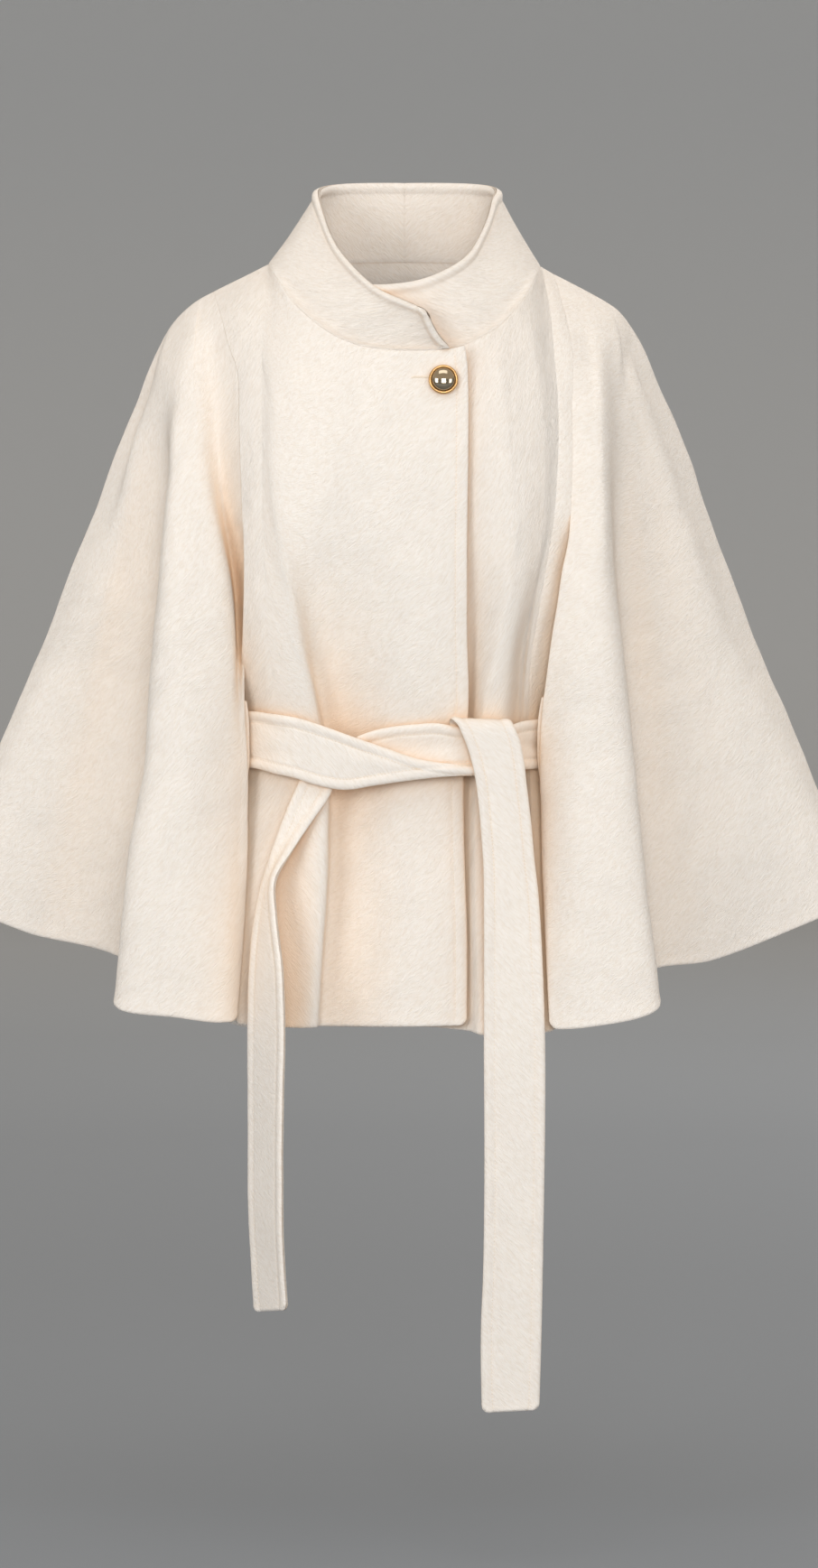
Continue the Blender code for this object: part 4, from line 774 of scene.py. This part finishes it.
def make_wall(name, top, low, u, v):
    rows, cols = top.shape[:2]
    n = rows * cols
    ids = np.arange(n).reshape(rows, cols)
    verts = np.concatenate([top.reshape(-1, 3), low.reshape(-1, 3)]) * MM
    a, b, c, d = ids[:-1, :-1].ravel(), ids[:-1, 1:].ravel(), ids[1:, 1:].ravel(), ids[1:, :-1].ravel()
    faces = np.concatenate([np.stack([a, b, c, d], 1), np.stack([a, d, c, b], 1) + n])
    rim = np.concatenate([ids[:, 0], ids[-1, 1:], ids[-2::-1, -1], ids[0, -2:0:-1]])
    nxt = np.roll(rim, -1)
    faces = np.concatenate([faces, np.stack([rim, nxt, nxt + n, rim + n], 1)[:, ::-1]])
    mesh = bpy.data.meshes.new(name)
    mesh.from_pydata(verts.tolist(), [], faces.tolist())
    mesh.update()
    volume = signed_volume(verts, faces)
    if volume < 0:
        mesh.flip_normals()
    layer = mesh.uv_layers.new(name="cloth")
    uv = np.stack([u.ravel(), v.ravel()], 1) * MM
    uv = np.concatenate([uv, uv])
    loops = np.empty(len(mesh.loops), np.int32)
    mesh.loops.foreach_get("vertex_index", loops)
    layer.data.foreach_set("uv", uv[loops].ravel().astype(np.float32))
    mesh.polygons.foreach_set("use_smooth", np.ones(len(mesh.polygons), bool))
    mesh.update()
    obj = bpy.data.objects.new(name, mesh)
    bpy.context.scene.collection.objects.link(obj)
    return obj


def signed_volume(verts, faces):
    a, b, c, d = (verts[faces[:, k]] for k in range(4))
    return float((np.einsum("ij,ij->i", a, np.cross(b, c)) + np.einsum("ij,ij->i", a, np.cross(c, d))).sum() / 6)


def flat_area(grid):
    """Area of the cloth's middle surface, in square metres."""
    a = np.cross(grid[1:, 1:] - grid[:-1, :-1], grid[1:, :-1] - grid[:-1, 1:])
    return float(np.linalg.norm(a, axis=2).sum() / 2) * 1e-6


def add_mesh(name, verts, faces, smooth=True, uv=None):
    mesh = bpy.data.meshes.new(name)
    mesh.from_pydata([tuple(v) for v in np.asarray(verts) * MM], [], [tuple(f) for f in faces])
    mesh.update()
    if uv is not None:
        layer = mesh.uv_layers.new(name="cloth")
        loops = np.empty(len(mesh.loops), np.int32)
        mesh.loops.foreach_get("vertex_index", loops)
        layer.data.foreach_set("uv", (np.asarray(uv, float) * MM)[loops].ravel().astype(np.float32))
    mesh.polygons.foreach_set("use_smooth", np.full(len(mesh.polygons), smooth))
    obj = bpy.data.objects.new(name, mesh)
    bpy.context.scene.collection.objects.link(obj)
    return obj


# ---------------------------------------------------------------- materials

def node(tree, kind, **inputs):
    n = tree.nodes.new(kind)
    for key, value in inputs.items():
        n.inputs[key.replace("_", " ")].default_value = value
    return n


def blank(name):
    mat = bpy.data.materials.new(name)
    mat.use_nodes = True
    return mat, mat.node_tree, mat.node_tree.nodes["Principled BSDF"]


def maths(tree, op, a, b):
    n = tree.nodes.new("ShaderNodeMath")
    n.operation = op
    for k, v in ((0, a), (1, b)):
        if isinstance(v, (int, float)):
            n.inputs[k].default_value = v
        else:
            tree.links.new(v, n.inputs[k])
    return n.outputs[0]


def streaks(tree, coords, turn, wide, long, detail, rough):
    """Noise drawn out into fibres that lie at an angle: wide and long in metres."""
    m = tree.nodes.new("ShaderNodeMapping")
    m.inputs["Rotation"].default_value = (0, 0, turn)
    m.vector_type = "TEXTURE"
    m.inputs["Scale"].default_value = (long, wide, 1)
    tree.links.new(coords, m.inputs["Vector"])
    n = tree.nodes.new("ShaderNodeTexNoise")
    n.inputs["Scale"].default_value = 1.0
    n.inputs["Detail"].default_value = detail
    n.inputs["Roughness"].default_value = rough
    n.inputs["Distortion"].default_value = 0.35
    tree.links.new(m.outputs[0], n.inputs["Vector"])
    return n.outputs["Fac"]


def wool(name, light, dark, turn=NAP_TURN, depth=1.0):
    """Brushed wool: short nap lying one way, in small clumps, over a felted face, with warm painted shade in its
    hollows from an occlusion mask.
    """
    mat, tree, bsdf = blank(name)
    uv = tree.nodes.new("ShaderNodeUVMap")
    uv.uv_map = "cloth"
    warp = tree.nodes.new("ShaderNodeTexNoise")
    warp.inputs["Scale"].default_value = 26.0
    warp.inputs["Detail"].default_value = 1.0
    tree.links.new(uv.outputs[0], warp.inputs["Vector"])
    scaled = tree.nodes.new("ShaderNodeVectorMath")
    scaled.operation = "MULTIPLY_ADD"
    tree.links.new(warp.outputs["Color"], scaled.inputs[0])
    scaled.inputs[1].default_value = (0.010, 0.010, 0)
    tree.links.new(uv.outputs[0], scaled.inputs[2])
    coords = scaled.outputs[0]
    nap = streaks(tree, coords, turn, 0.0009, 0.0052, 3.0, 0.55)
    clump = streaks(tree, coords, turn, 0.0027, 0.0088, 3.0, 0.5)
    hair = streaks(tree, coords, turn + 0.25, 0.00030, 0.0022, 2.0, 0.5)
    felt = streaks(tree, uv.outputs[0], 0.0, 0.0007, 0.0007, 3.0, 0.6)
    height = maths(tree, "MULTIPLY_ADD", nap, 0.58)
    height.node.inputs[2].default_value = 0.0
    h2 = maths(tree, "MULTIPLY_ADD", clump, 0.32)
    tree.links.new(height, h2.node.inputs[2])
    h3 = maths(tree, "MULTIPLY_ADD", hair, 0.16)
    tree.links.new(h2, h3.node.inputs[2])
    h4 = maths(tree, "MULTIPLY_ADD", felt, 0.20)
    tree.links.new(h3, h4.node.inputs[2])
    bump = tree.nodes.new("ShaderNodeBump")
    bump.inputs["Strength"].default_value = NAP_STRENGTH * depth
    bump.inputs["Distance"].default_value = 0.0017
    tree.links.new(h4, bump.inputs["Height"])
    tree.links.new(bump.outputs[0], bsdf.inputs["Normal"])
    mixed = maths(tree, "ADD", maths(tree, "MULTIPLY", nap, 0.5), maths(tree, "MULTIPLY", clump, 0.5))
    ramp = tree.nodes.new("ShaderNodeValToRGB")
    ramp.color_ramp.elements[0].position, ramp.color_ramp.elements[0].color = 0.38, (*dark, 1)
    ramp.color_ramp.elements[1].position, ramp.color_ramp.elements[1].color = 0.56, (*light, 1)
    tree.links.new(mixed, ramp.inputs[0])
    # painted shade: an occlusion mask mixes a warm darker wool colour into the base colour in creases, hollows and
    # between parts, where shade falls
    hollow = tree.nodes.new("ShaderNodeAmbientOcclusion")
    hollow.samples = 4
    hollow.inputs["Distance"].default_value = PAINTED_SHADE_REACH
    open_share = tree.nodes.new("ShaderNodeMapRange")
    open_share.inputs["From Min"].default_value = 0.05
    open_share.inputs["From Max"].default_value = 0.95
    tree.links.new(hollow.outputs["AO"], open_share.inputs["Value"])
    painted_shade_mix = tree.nodes.new("ShaderNodeMix")
    painted_shade_mix.data_type = "RGBA"
    colours = [s for s in painted_shade_mix.inputs if s.type == "RGBA"]
    colours[0].default_value = (*WOOL_PAINTED_SHADE, 1)
    tree.links.new(open_share.outputs[0], painted_shade_mix.inputs[0])
    tree.links.new(ramp.outputs[0], colours[1])
    tree.links.new([s for s in painted_shade_mix.outputs if s.type == "RGBA"][0], bsdf.inputs["Base Color"])
    rough = maths(tree, "MULTIPLY_ADD", clump, -0.16)
    rough.node.inputs[2].default_value = 1.0
    tree.links.new(rough, bsdf.inputs["Roughness"])
    bsdf.inputs["Specular IOR Level"].default_value = 0.25
    bsdf.inputs["Sheen Weight"].default_value = 0.22
    bsdf.inputs["Sheen Roughness"].default_value = 0.45
    bsdf.inputs["Sheen Tint"].default_value = (1.0, 0.97, 0.93, 1)
    for n in [n for n in tree.nodes if n.bl_idname != "ShaderNodeOutputMaterial"
              and not any(o.is_linked for o in n.outputs)]:
        tree.nodes.remove(n)
    return mat


def thread_material():
    """Sewing thread with its two-ply twist."""
    mat, tree, bsdf = blank("thread")
    geo = tree.nodes.new("ShaderNodeNewGeometry")
    wave = tree.nodes.new("ShaderNodeTexWave")
    wave.inputs["Scale"].default_value = 900.0
    wave.inputs["Distortion"].default_value = 1.0
    tree.links.new(geo.outputs["Position"], wave.inputs["Vector"])
    ramp = tree.nodes.new("ShaderNodeValToRGB")
    ramp.color_ramp.elements[0].color = (0.79, 0.67, 0.54, 1)
    ramp.color_ramp.elements[1].color = (0.92, 0.84, 0.74, 1)
    tree.links.new(wave.outputs["Fac"], ramp.inputs[0])
    tree.links.new(ramp.outputs[0], bsdf.inputs["Base Color"])
    bsdf.inputs["Roughness"].default_value = 0.6
    return mat


def gold_material(name, colour, rough, scratch):
    """Polished plated metal with faint rubbing marks."""
    mat, tree, bsdf = blank(name)
    tex = tree.nodes.new("ShaderNodeTexCoord")
    n = tree.nodes.new("ShaderNodeTexNoise")
    n.inputs["Scale"].default_value = 620.0
    n.inputs["Detail"].default_value = 4.0
    tree.links.new(tex.outputs["Object"], n.inputs["Vector"])
    r = maths(tree, "MULTIPLY_ADD", n.outputs["Fac"], scratch)
    r.node.inputs[2].default_value = rough
    tree.links.new(r, bsdf.inputs["Roughness"])
    ramp = tree.nodes.new("ShaderNodeValToRGB")
    ramp.color_ramp.elements[0].position, ramp.color_ramp.elements[1].position = 0.3, 0.7
    ramp.color_ramp.elements[0].color = (*[c * 0.93 for c in colour], 1)
    ramp.color_ramp.elements[1].color = (*colour, 1)
    tree.links.new(n.outputs["Fac"], ramp.inputs[0])
    tree.links.new(ramp.outputs[0], bsdf.inputs["Base Color"])
    bsdf.inputs["Metallic"].default_value = 1.0
    return mat


COAT = wool("brushed_wool", WOOL_LIGHT, WOOL_DARK)
COAT_MIRROR = wool("brushed_wool_left", WOOL_LIGHT, WOOL_DARK, turn=-NAP_TURN)
BELT = wool("belt_wool", WOOL_LIGHT, WOOL_DARK, turn=NAP_TURN, depth=0.85)
THREAD = thread_material()
RIM = gold_material("gold_rim", (0.66, 0.40, 0.17), 0.24, 0.10)
DOME = gold_material("gold_dome", (0.50, 0.42, 0.31), 0.05, 0.04)


# ---------------------------------------------------------------- stitches

def line_at(base, dist, side, d, lo=0.0, hi=1.0, other=None, stop=0.0):
    """Points of a panel at distance d from one side, one on each of the panel's rows for a side edge, or on each column
    for the top or hem.
    """
    D = dist[side]
    pts = []
    if side in ("first", "last"):
        for i in range(base.shape[0]):
            row, col = (D[i], base[i])
            if side == "last":
                row, col = row[::-1], col[::-1]
            pts.append([np.interp(d, row, col[:, c]) for c in range(3)])
    else:
        for j in range(base.shape[1]):
            row, col = (D[:, j], base[:, j])
            if side == "hem":
                row, col = row[::-1], col[::-1]
            pts.append([np.interp(d, row, col[:, c]) for c in range(3)])
    pts = np.array(pts)
    run = lengths(pts)
    keep = (run >= lo * run[-1] + stop) & (run <= hi * run[-1] - stop)
    return pts[keep]


def nearest_normals(pts, base, normals):
    flat, nf = base.reshape(-1, 3), normals.reshape(-1, 3)
    out = np.empty_like(pts)
    for k, p in enumerate(pts):
        out[k] = nf[int(np.argmin(((flat - p)**2).sum(1)))]
    return out


def stitch_mesh(name, lines, offset, radius=0.42, length=STITCH, gap=0.24):
    """Thread stitches along lines of (points, directions): short capsules whose ends dip into the cloth."""
    verts, faces = [], []
    rings = ((0.0, 0.35, -0.55), (0.18, 0.95, -0.05), (0.5, 1.0, 0.12), (0.82, 0.95, -0.05), (1.0, 0.35, -0.55))
    sides = 6
    for pts, dirs in lines:
        run = lengths(pts)
        count = int(run[-1] / length)
        for s in range(count):
            a, b = s * length + 0.5 * gap * length, (s + 1) * length - 0.5 * gap * length
            start = len(verts)
            p0 = np.array([np.interp(a, run, pts[:, c]) for c in range(3)])
            p1 = np.array([np.interp(b, run, pts[:, c]) for c in range(3)])
            n = unit(np.array([np.interp(0.5 * (a + b), run, dirs[:, c]) for c in range(3)]))
            t = unit(p1 - p0)
            side = unit(np.cross(t, n))
            n = np.cross(side, t)
            for f, r, h in rings:
                c = p0 * (1 - f) + p1 * f + n * (offset + h)
                for q in range(sides):
                    ang = 2 * math.pi * q / sides
                    verts.append(c + radius * r * (math.cos(ang) * side + math.sin(ang) * n))
            for k in range(len(rings) - 1):
                for q in range(sides):
                    m = (q + 1) % sides
                    faces.append((start + k * sides + q, start + k * sides + m,
                                  start + (k + 1) * sides + m, start + (k + 1) * sides + q))
            faces.append(tuple(start + q for q in range(sides))[::-1])
            faces.append(tuple(start + (len(rings) - 1) * sides + q for q in range(sides)))
    obj = add_mesh(name, verts, faces)
    obj.data.materials.append(THREAD)
    return obj


# ---------------------------------------------------------------- the coat

front_r, front_r_n, corner_fr = build_front(FRONT_R, SHOULDER_R, NECK_SEAM_R[::-1], 4, 6, 1.0)
cape_r, cape_r_n = build_cape(CAPE_R, SHOULDER_R[3:], ARM_R, 6, 1.0)
front_l, front_l_n, corner_fl = build_front(FRONT_L, SHOULDER_L, NECK_SEAM_L[::-1], 6, 6, -1.0)
cape_l, cape_l_n = build_cape(CAPE_L, SHOULDER_L[1:], ARM_L, 6, -1.0)
join_seam(front_r, front_r_n, cape_r, cape_r_n)
join_seam(front_l, front_l_n, cape_l, cape_l_n)
back_r, back_r_n, corner_br = build_back(SHOULDER_R, ARM_R, -1.0, -1.0)
back_l, back_l_n, corner_bl = build_back(SHOULDER_L, ARM_L, 1.0, 1.0)
collar_r, collar_r_n = build_collar(COLLAR_R, COLLAR_R_END, 1.0, front_r, back_r, corner_fr, corner_br)
collar_l, collar_l_n = build_collar(COLLAR_L, None, -1.0, front_l, back_l, corner_fl, corner_bl)

PIECES = {}


def place(obj, nodes, material, slot, flat, held, area=None, rests_on=(), with_pieces=()):
    obj.data.materials.append(material)
    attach(obj, "root")
    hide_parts(*nodes)
    PIECES[obj.name] = obj


def panel_folds(grid, names):
    return [fold_field(grid, rows, skew) for key, (rows, skew) in FOLDS.items() if any(key.startswith(n) for n in names)]


def trimmed(name, lines, offset):
    obj = stitch_mesh(name, lines, offset)
    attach(obj, "root")
    return obj


BODY = (
    ("front_right", front_r, front_r_n, {"first": "stitched", "last": "slit", "top": "seam", "hem": "hem"},
     (("first", "hem", 8.0), ("last", "hem", 8.0)), ("front_r",), COAT, (0.28, 0.765), 0.161, "first"),
    ("cape_right", cape_r, cape_r_n, {"first": "slit", "last": "seam", "top": "seam", "hem": "hem"},
     (("first", "hem", 9.0),), ("cape_r",), COAT, (0.42, 0.75), 0.180, "first"),
    ("front_left", front_l, front_l_n, {"first": "hem", "last": "slit", "top": "seam", "hem": "hem"},
     (("first", "hem", 8.0), ("last", "hem", 8.0)), ("front_l",), COAT_MIRROR, (0.24, 0.765), 0.119, "first"),
    ("cape_left", cape_l, cape_l_n, {"first": "slit", "last": "seam", "top": "seam", "hem": "hem"},
     (("first", "hem", 9.0),), ("cape_l",), COAT_MIRROR, (0.42, 0.76), 0.170, "first"),
    ("back_right", back_r, back_r_n, {"first": "seam", "last": "seam", "top": "seam", "hem": "hem"},
     (), ("back_r",), COAT_MIRROR, (0.53, 0.79), 0.273, "first"),
    ("back_left", back_l, back_l_n, {"first": "seam", "last": "seam", "top": "seam", "hem": "hem"},
     (), ("back_l",), COAT, (0.52, 0.79), 0.270, "first"),
)

FINAL = {}
for name, grid, normals, edges, corners, keys, material, flat, area, u0 in BODY:
    obj, base, dist = cloth_wall(name + "_cloth", grid, normals, PANEL_WALL, edges, panel_folds(grid, keys), WAVE, corners=corners,
                                 u0=u0)
    FINAL[name] = (obj, base, dist, normals)
    print("piece", name, "flat", round(lengths(base[base.shape[0] // 2])[-1]), round(dist["top"][-1].max()),
          "hem", round(lengths(base[-1])[-1]), "area", round(flat_area(base), 4))
    extra = []
    if name == "front_right":
        line = line_at(base, dist, "first", STITCH_IN, stop=6.0)
        extra.append(trimmed("front_edge_stitches", [(line, nearest_normals(line, base, normals))], -0.55))
    place(obj, [name], material, "wool_cloth", flat, "hung", area=area, rests_on=["worn_on_shoulders"], with_pieces=extra)

for name, grid, normals, edges, corners, flat, area in (
        ("collar_right", collar_r, collar_r_n, {"first": "seam", "last": "collar", "top": "seam", "hem": "collar"},
         (("last", "hem", 3.2),), (0.37, 0.105), 0.0262),
        ("collar_left", collar_l, collar_l_n, {"first": "seam", "last": "plain", "top": "seam", "hem": "collar"},
         (("last", "hem", 7.0),), (0.37, 0.105), 0.0280)):
    obj, base, dist = cloth_wall(name + "_cloth", grid, normals, COLLAR_WALL, edges, panel_folds(grid, (name,)), WAVE * 0.6,
                                 both=True, corners=corners)
    FINAL[name] = (obj, base, dist, normals)
    print("piece", name, "flat", round(lengths(base[base.shape[0] // 2])[-1]), round(dist["top"][-1].max()),
          "area", round(flat_area(base), 4))
    lines = [line_at(base, dist, "hem", 11.4, stop=3.0)]
    if name == "collar_right":
        lines[0] = lines[0][:-6]
        lines.append(line_at(base, dist, "last", 11.4, stop=6.0))
        lines.append(line_at(base, dist, "last", 17.5, stop=9.0))
    extra = trimmed(name + "_stitches", [(l, nearest_normals(l, base, normals)) for l in lines], -0.5)
    place(obj, [name], COAT, "wool_cloth", flat, "folded", area=area, rests_on=["front_right_cloth", "front_left_cloth"],
          with_pieces=[extra])

RING = {"upper": [(x, y, BELT_BACK_TOP) for x, y in BELT_BACK_PATH],
        "lower": [(x, y, BELT_BACK_LOW) for x, y in BELT_BACK_PATH]}
for name, table, width, sign, ends, flat, rests in (
        ("belt_band_right", BAND_R, 54.0, 1.0, ("plain", "plain"), (0.058, 0.26), ["front_right"]),
        ("belt_band_left", BAND_L, 50.0, -1.0, ("plain", "plain"), (0.058, 0.24), ["front_left"]),
        ("belt_tail_left", TAIL_L, 50.0, -1.0, ("plain", "belt"), (0.058, 0.69), ["belt_band_left"]),
        ("belt_tail_right", TAIL_R, 50.0, -1.0, ("plain", "belt"), (0.058, 0.53), ["belt_band_right"]),
        ("belt_back", RING, 51.0, 1.0, ("plain", "plain"), (0.058, 0.62), ["back_right", "back_left"])):
    grid, normals = build_ribbon(table, width, sign)
    edges = {"first": "belt", "last": "belt", "top": ends[0], "hem": ends[1]}
    corners = (("first", "hem", 7.0), ("last", "hem", 7.0)) if ends[1] == "belt" else ()
    if ends[1] == "belt":
        edges["hem"] = "plain"
    obj, base, dist = cloth_wall(name + "_cloth", grid, normals, BELT_WALL, edges, panel_folds(grid, (name,)), WAVE * 0.5,
                                 both=True, corners=corners)
    FINAL[name] = (obj, base, dist, normals)
    print("piece", name, "flat", round(lengths(base[base.shape[0] // 2])[-1]), round(dist["top"][-1].max()),
          "area", round(flat_area(base), 4))
    lines = [line_at(base, dist, s, 9.9, stop=1.5) for s in ("first", "last")]
    extra = trimmed(name + "_stitches", [(l, nearest_normals(l, base, normals)) for l in lines], -0.5)
    place(obj, [name], BELT, "wool_belt", flat, "folded" if "tail" in name else "stretched", rests_on=[r + "_cloth" for r in rests],
          with_pieces=[extra])

for name, rows, inward in (("belt_slot_right", WELT["right"], -1.0), ("belt_slot_left", WELT["left"], 1.0)):
    s = graded(84.0, True, True, 3.5)
    line = along(rows, s)
    across = np.array([0, 0.06, 0.15, 0.28, 0.5, 0.72, 0.85, 0.94, 1.0])
    other = line + np.array([inward * WELT_WIDTH, 0, 0])
    grid = np.stack([line * (1 - a) + other * a for a in across], axis=1)
    normals = np.tile(np.array([0, -1.0, 0]), (*grid.shape[:2], 1))
    obj, base, dist = cloth_wall(name + "_cloth", grid, normals, WELT_WALL, {"first": "plain", "last": "plain", "top": "plain",
                                                                  "hem": "plain"}, wave=0.2, both=True)
    obj.data.materials.append(BELT)
    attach(obj, "root")
    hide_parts(name)


# ---------------------------------------------------------------- button and buttonhole

def surface_point(grid, normals, x, z):
    flat, nf = grid.reshape(-1, 3), normals.reshape(-1, 3)
    k = int(np.argmin((flat[:, 0] - x)**2 + (flat[:, 2] - z)**2))
    return flat[k], unit(nf[k])


def lathe(name, profile, origin, axis, material, steps=96):
    verts, faces = [], []
    rings = []
    for r, h in profile:
        start = len(verts)
        if r < 1e-6:
            verts.append((0, 0, h))
            rings.append([start])
        else:
            for t in np.linspace(0, 2 * np.pi, steps, endpoint=False):
                verts.append((r * np.cos(t), r * np.sin(t), h))
            rings.append(list(range(start, start + steps)))
    pairs = list(zip(rings, rings[1:]))
    if len(rings[0]) > 1:
        pairs.append((rings[-1], rings[0]))
    for a, b in pairs:
        for k in range(steps):
            m = (k + 1) % steps
            if len(a) == 1:
                faces.append((a[0], b[k], b[m]))
            elif len(b) == 1:
                faces.append((a[k], b[0], a[m]))
            else:
                faces.append((a[k], b[k], b[m], a[m]))
    obj = add_mesh(name, verts, faces)
    obj.location = Vector(origin * MM)
    obj.rotation_euler = Vector(axis).to_track_quat("Z", "Y").to_euler()
    obj.data.materials.append(material)
    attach(obj, "root")
    return obj


base_fr, normals_fr = FINAL["front_right"][1], FINAL["front_right"][3]
spot, axis = surface_point(base_fr, normals_fr, *BUTTON_AT)
spot = np.array([BUTTON_AT[0], spot[1], BUTTON_AT[1]])
lift = spot + axis * 0.7
R = BUTTON_RIM_R
rim_profile = [(9.6, 0.0), (R - 1.6, 0.0)]
rim_profile += [(R - 1.6 + 1.6 * math.sin(a), 1.6 - 1.6 * math.cos(a)) for a in np.radians([15, 30, 50, 70, 90])]
rim_profile += [(R - 1.35 + 1.35 * math.cos(a), 2.75 + 1.35 * math.sin(a)) for a in np.radians([0, 20, 40, 60, 80, 100, 120, 150])]
rim_profile += [(11.55, 3.0), (11.3, 2.75), (9.6, 2.6)]
rim = lathe("button_rim_polished", rim_profile, lift, axis, RIM)
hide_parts("button_rim")
dome_profile = [(0.0, 0.3), (9.2, 0.3), (9.3, 2.9), (BUTTON_DOME_R - 0.15, 3.0)]
dome_profile += [(BUTTON_DOME_R * math.cos(a), 3.3 + (BUTTON_H - 3.3) * math.sin(a)) for a in
                 np.radians([0, 4, 9, 15, 22, 30, 38, 46, 54, 62, 70, 77, 83, 87])]
dome_profile += [(0.0, BUTTON_H)]
dome = lathe("button_dome_polished", dome_profile, lift, axis, DOME)
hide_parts("button_dome")


def buttonhole(name, x0, x1, z, half):
    """Purl of fine cross stitches around a slit, closed by a bar tack at its outer end."""
    lines = []
    for sgn in (-1.0, 1.0):
        for x in np.arange(x0 + 0.5, x1, 0.85):
            p, n = surface_point(base_fr, normals_fr, x, z)
            a = np.array([x, p[1], z + sgn * 0.35])
            b = np.array([x, p[1], z + sgn * half])
            lines.append((np.array([a, b]), np.array([n, n])))
    for dx in (0.0, 0.6, 1.2):
        p, n = surface_point(base_fr, normals_fr, x0, z)
        lines.append((np.array([[x0 - dx, p[1], z - half], [x0 - dx, p[1], z + half]]), np.array([n, n])))
    obj = stitch_mesh(name, lines, 0.12, radius=0.46, length=half - 0.36, gap=0.02)
    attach(obj, "root")
    return obj


hole = buttonhole("buttonhole_stitches", 8.2, 24.0, -110.2, 2.5)

# ---------------------------------------------------------------- studio

def paper():
    """Studio paper with painted light and shade: a little deeper in tone near the middle of the floor, where the lamps
    are close, and lighter far out on the wall, where little lamp light falls; a cool tint offsets the warm world light.
    """
    mat, tree, bsdf = blank("backdrop_paper")
    geo = tree.nodes.new("ShaderNodeNewGeometry")
    far = tree.nodes.new("ShaderNodeVectorMath")
    far.operation = "LENGTH"
    tree.links.new(geo.outputs["Position"], far.inputs[0])
    ramp = tree.nodes.new("ShaderNodeValToRGB")
    ramp.color_ramp.elements.remove(ramp.color_ramp.elements[1])
    for k, (r, grey) in enumerate(PAPER_PAINTED_LIGHT):
        stop = ramp.color_ramp.elements[0] if k == 0 else ramp.color_ramp.elements.new(r / 20.0)
        stop.position = r / 20.0
        stop.color = (grey * PAPER_TINT_AGAINST_WARM_LIGHT[0], grey * PAPER_TINT_AGAINST_WARM_LIGHT[1], grey * PAPER_TINT_AGAINST_WARM_LIGHT[2], 1)
    tree.links.new(maths(tree, "MULTIPLY", far.outputs["Value"], 1 / 20.0), ramp.inputs[0])
    tree.links.new(ramp.outputs[0], bsdf.inputs["Base Color"])
    bsdf.inputs["Roughness"].default_value = 0.9
    bsdf.inputs["Specular IOR Level"].default_value = 0.1
    return mat


def backdrop():
    """Round floor that curves up into a low wall all the way round."""
    prof = [(0.0, 0.0)] + [(r, 0.0) for r in (1.0, 2.5, 5.0, 8.0, 10.5)]
    prof += [(10.5 + 2.5 * math.sin(a), 2.5 - 2.5 * math.cos(a)) for a in np.radians(np.arange(6, 91, 6))]
    prof += [(13.0, 5.0)]
    steps = 120
    verts = [(0, 0, FLOOR_Z)]
    for r, z in prof[1:]:
        verts += [(r * 1000 * math.cos(t), r * 1000 * math.sin(t), FLOOR_Z + z * 1000)
                  for t in np.linspace(0, 2 * math.pi, steps, endpoint=False)]
    faces = [(0, 1 + k, 1 + (k + 1) % steps) for k in range(steps)]
    for i in range(len(prof) - 2):
        a, b = 1 + i * steps, 1 + (i + 1) * steps
        faces += [(a + k, b + k, b + (k + 1) % steps, a + (k + 1) % steps) for k in range(steps)]
    obj = add_mesh("backdrop", verts, faces)
    obj.data.materials.append(paper())


def area_light(name, place, aim, size, power, colour=(1, 1, 1)):
    data = bpy.data.lights.new(name, "AREA")
    data.shape = "RECTANGLE"
    data.size, data.size_y = size
    data.energy = power
    data.color = colour
    obj = bpy.data.objects.new(name, data)
    obj.location = place
    obj.rotation_euler = (Vector(aim) - Vector(place)).to_track_quat("-Z", "Y").to_euler()
    bpy.context.scene.collection.objects.link(obj)


backdrop()
bpy.context.scene.view_settings.view_transform = "Standard"
bpy.context.scene.view_settings.look = "None"
for row in LIGHTS:
    area_light(*row)
world = bpy.data.worlds.new("studio")
bpy.context.scene.world = world
world.use_nodes = True
world.node_tree.nodes["Background"].inputs["Color"].default_value = (*WORLD, 1)
world.node_tree.nodes["Background"].inputs["Strength"].default_value = WORLD_STRENGTH

cam = bpy.data.cameras.new("camera")
cam.sensor_fit = "AUTO"
cam.sensor_width = 36.0
cam.lens = 36.0 * 5.0 / 1.511
cam_obj = bpy.data.objects.new("camera", cam)
tilt = math.radians(3.0)
aim = Vector((0.0044, 0.0, -0.497))
cam_obj.location = aim + 5.0 * Vector((0, -math.cos(tilt), math.sin(tilt)))
cam_obj.rotation_euler = (aim - cam_obj.location).to_track_quat("-Z", "Y").to_euler()
bpy.context.scene.collection.objects.link(cam_obj)
bpy.context.scene.camera = cam_obj
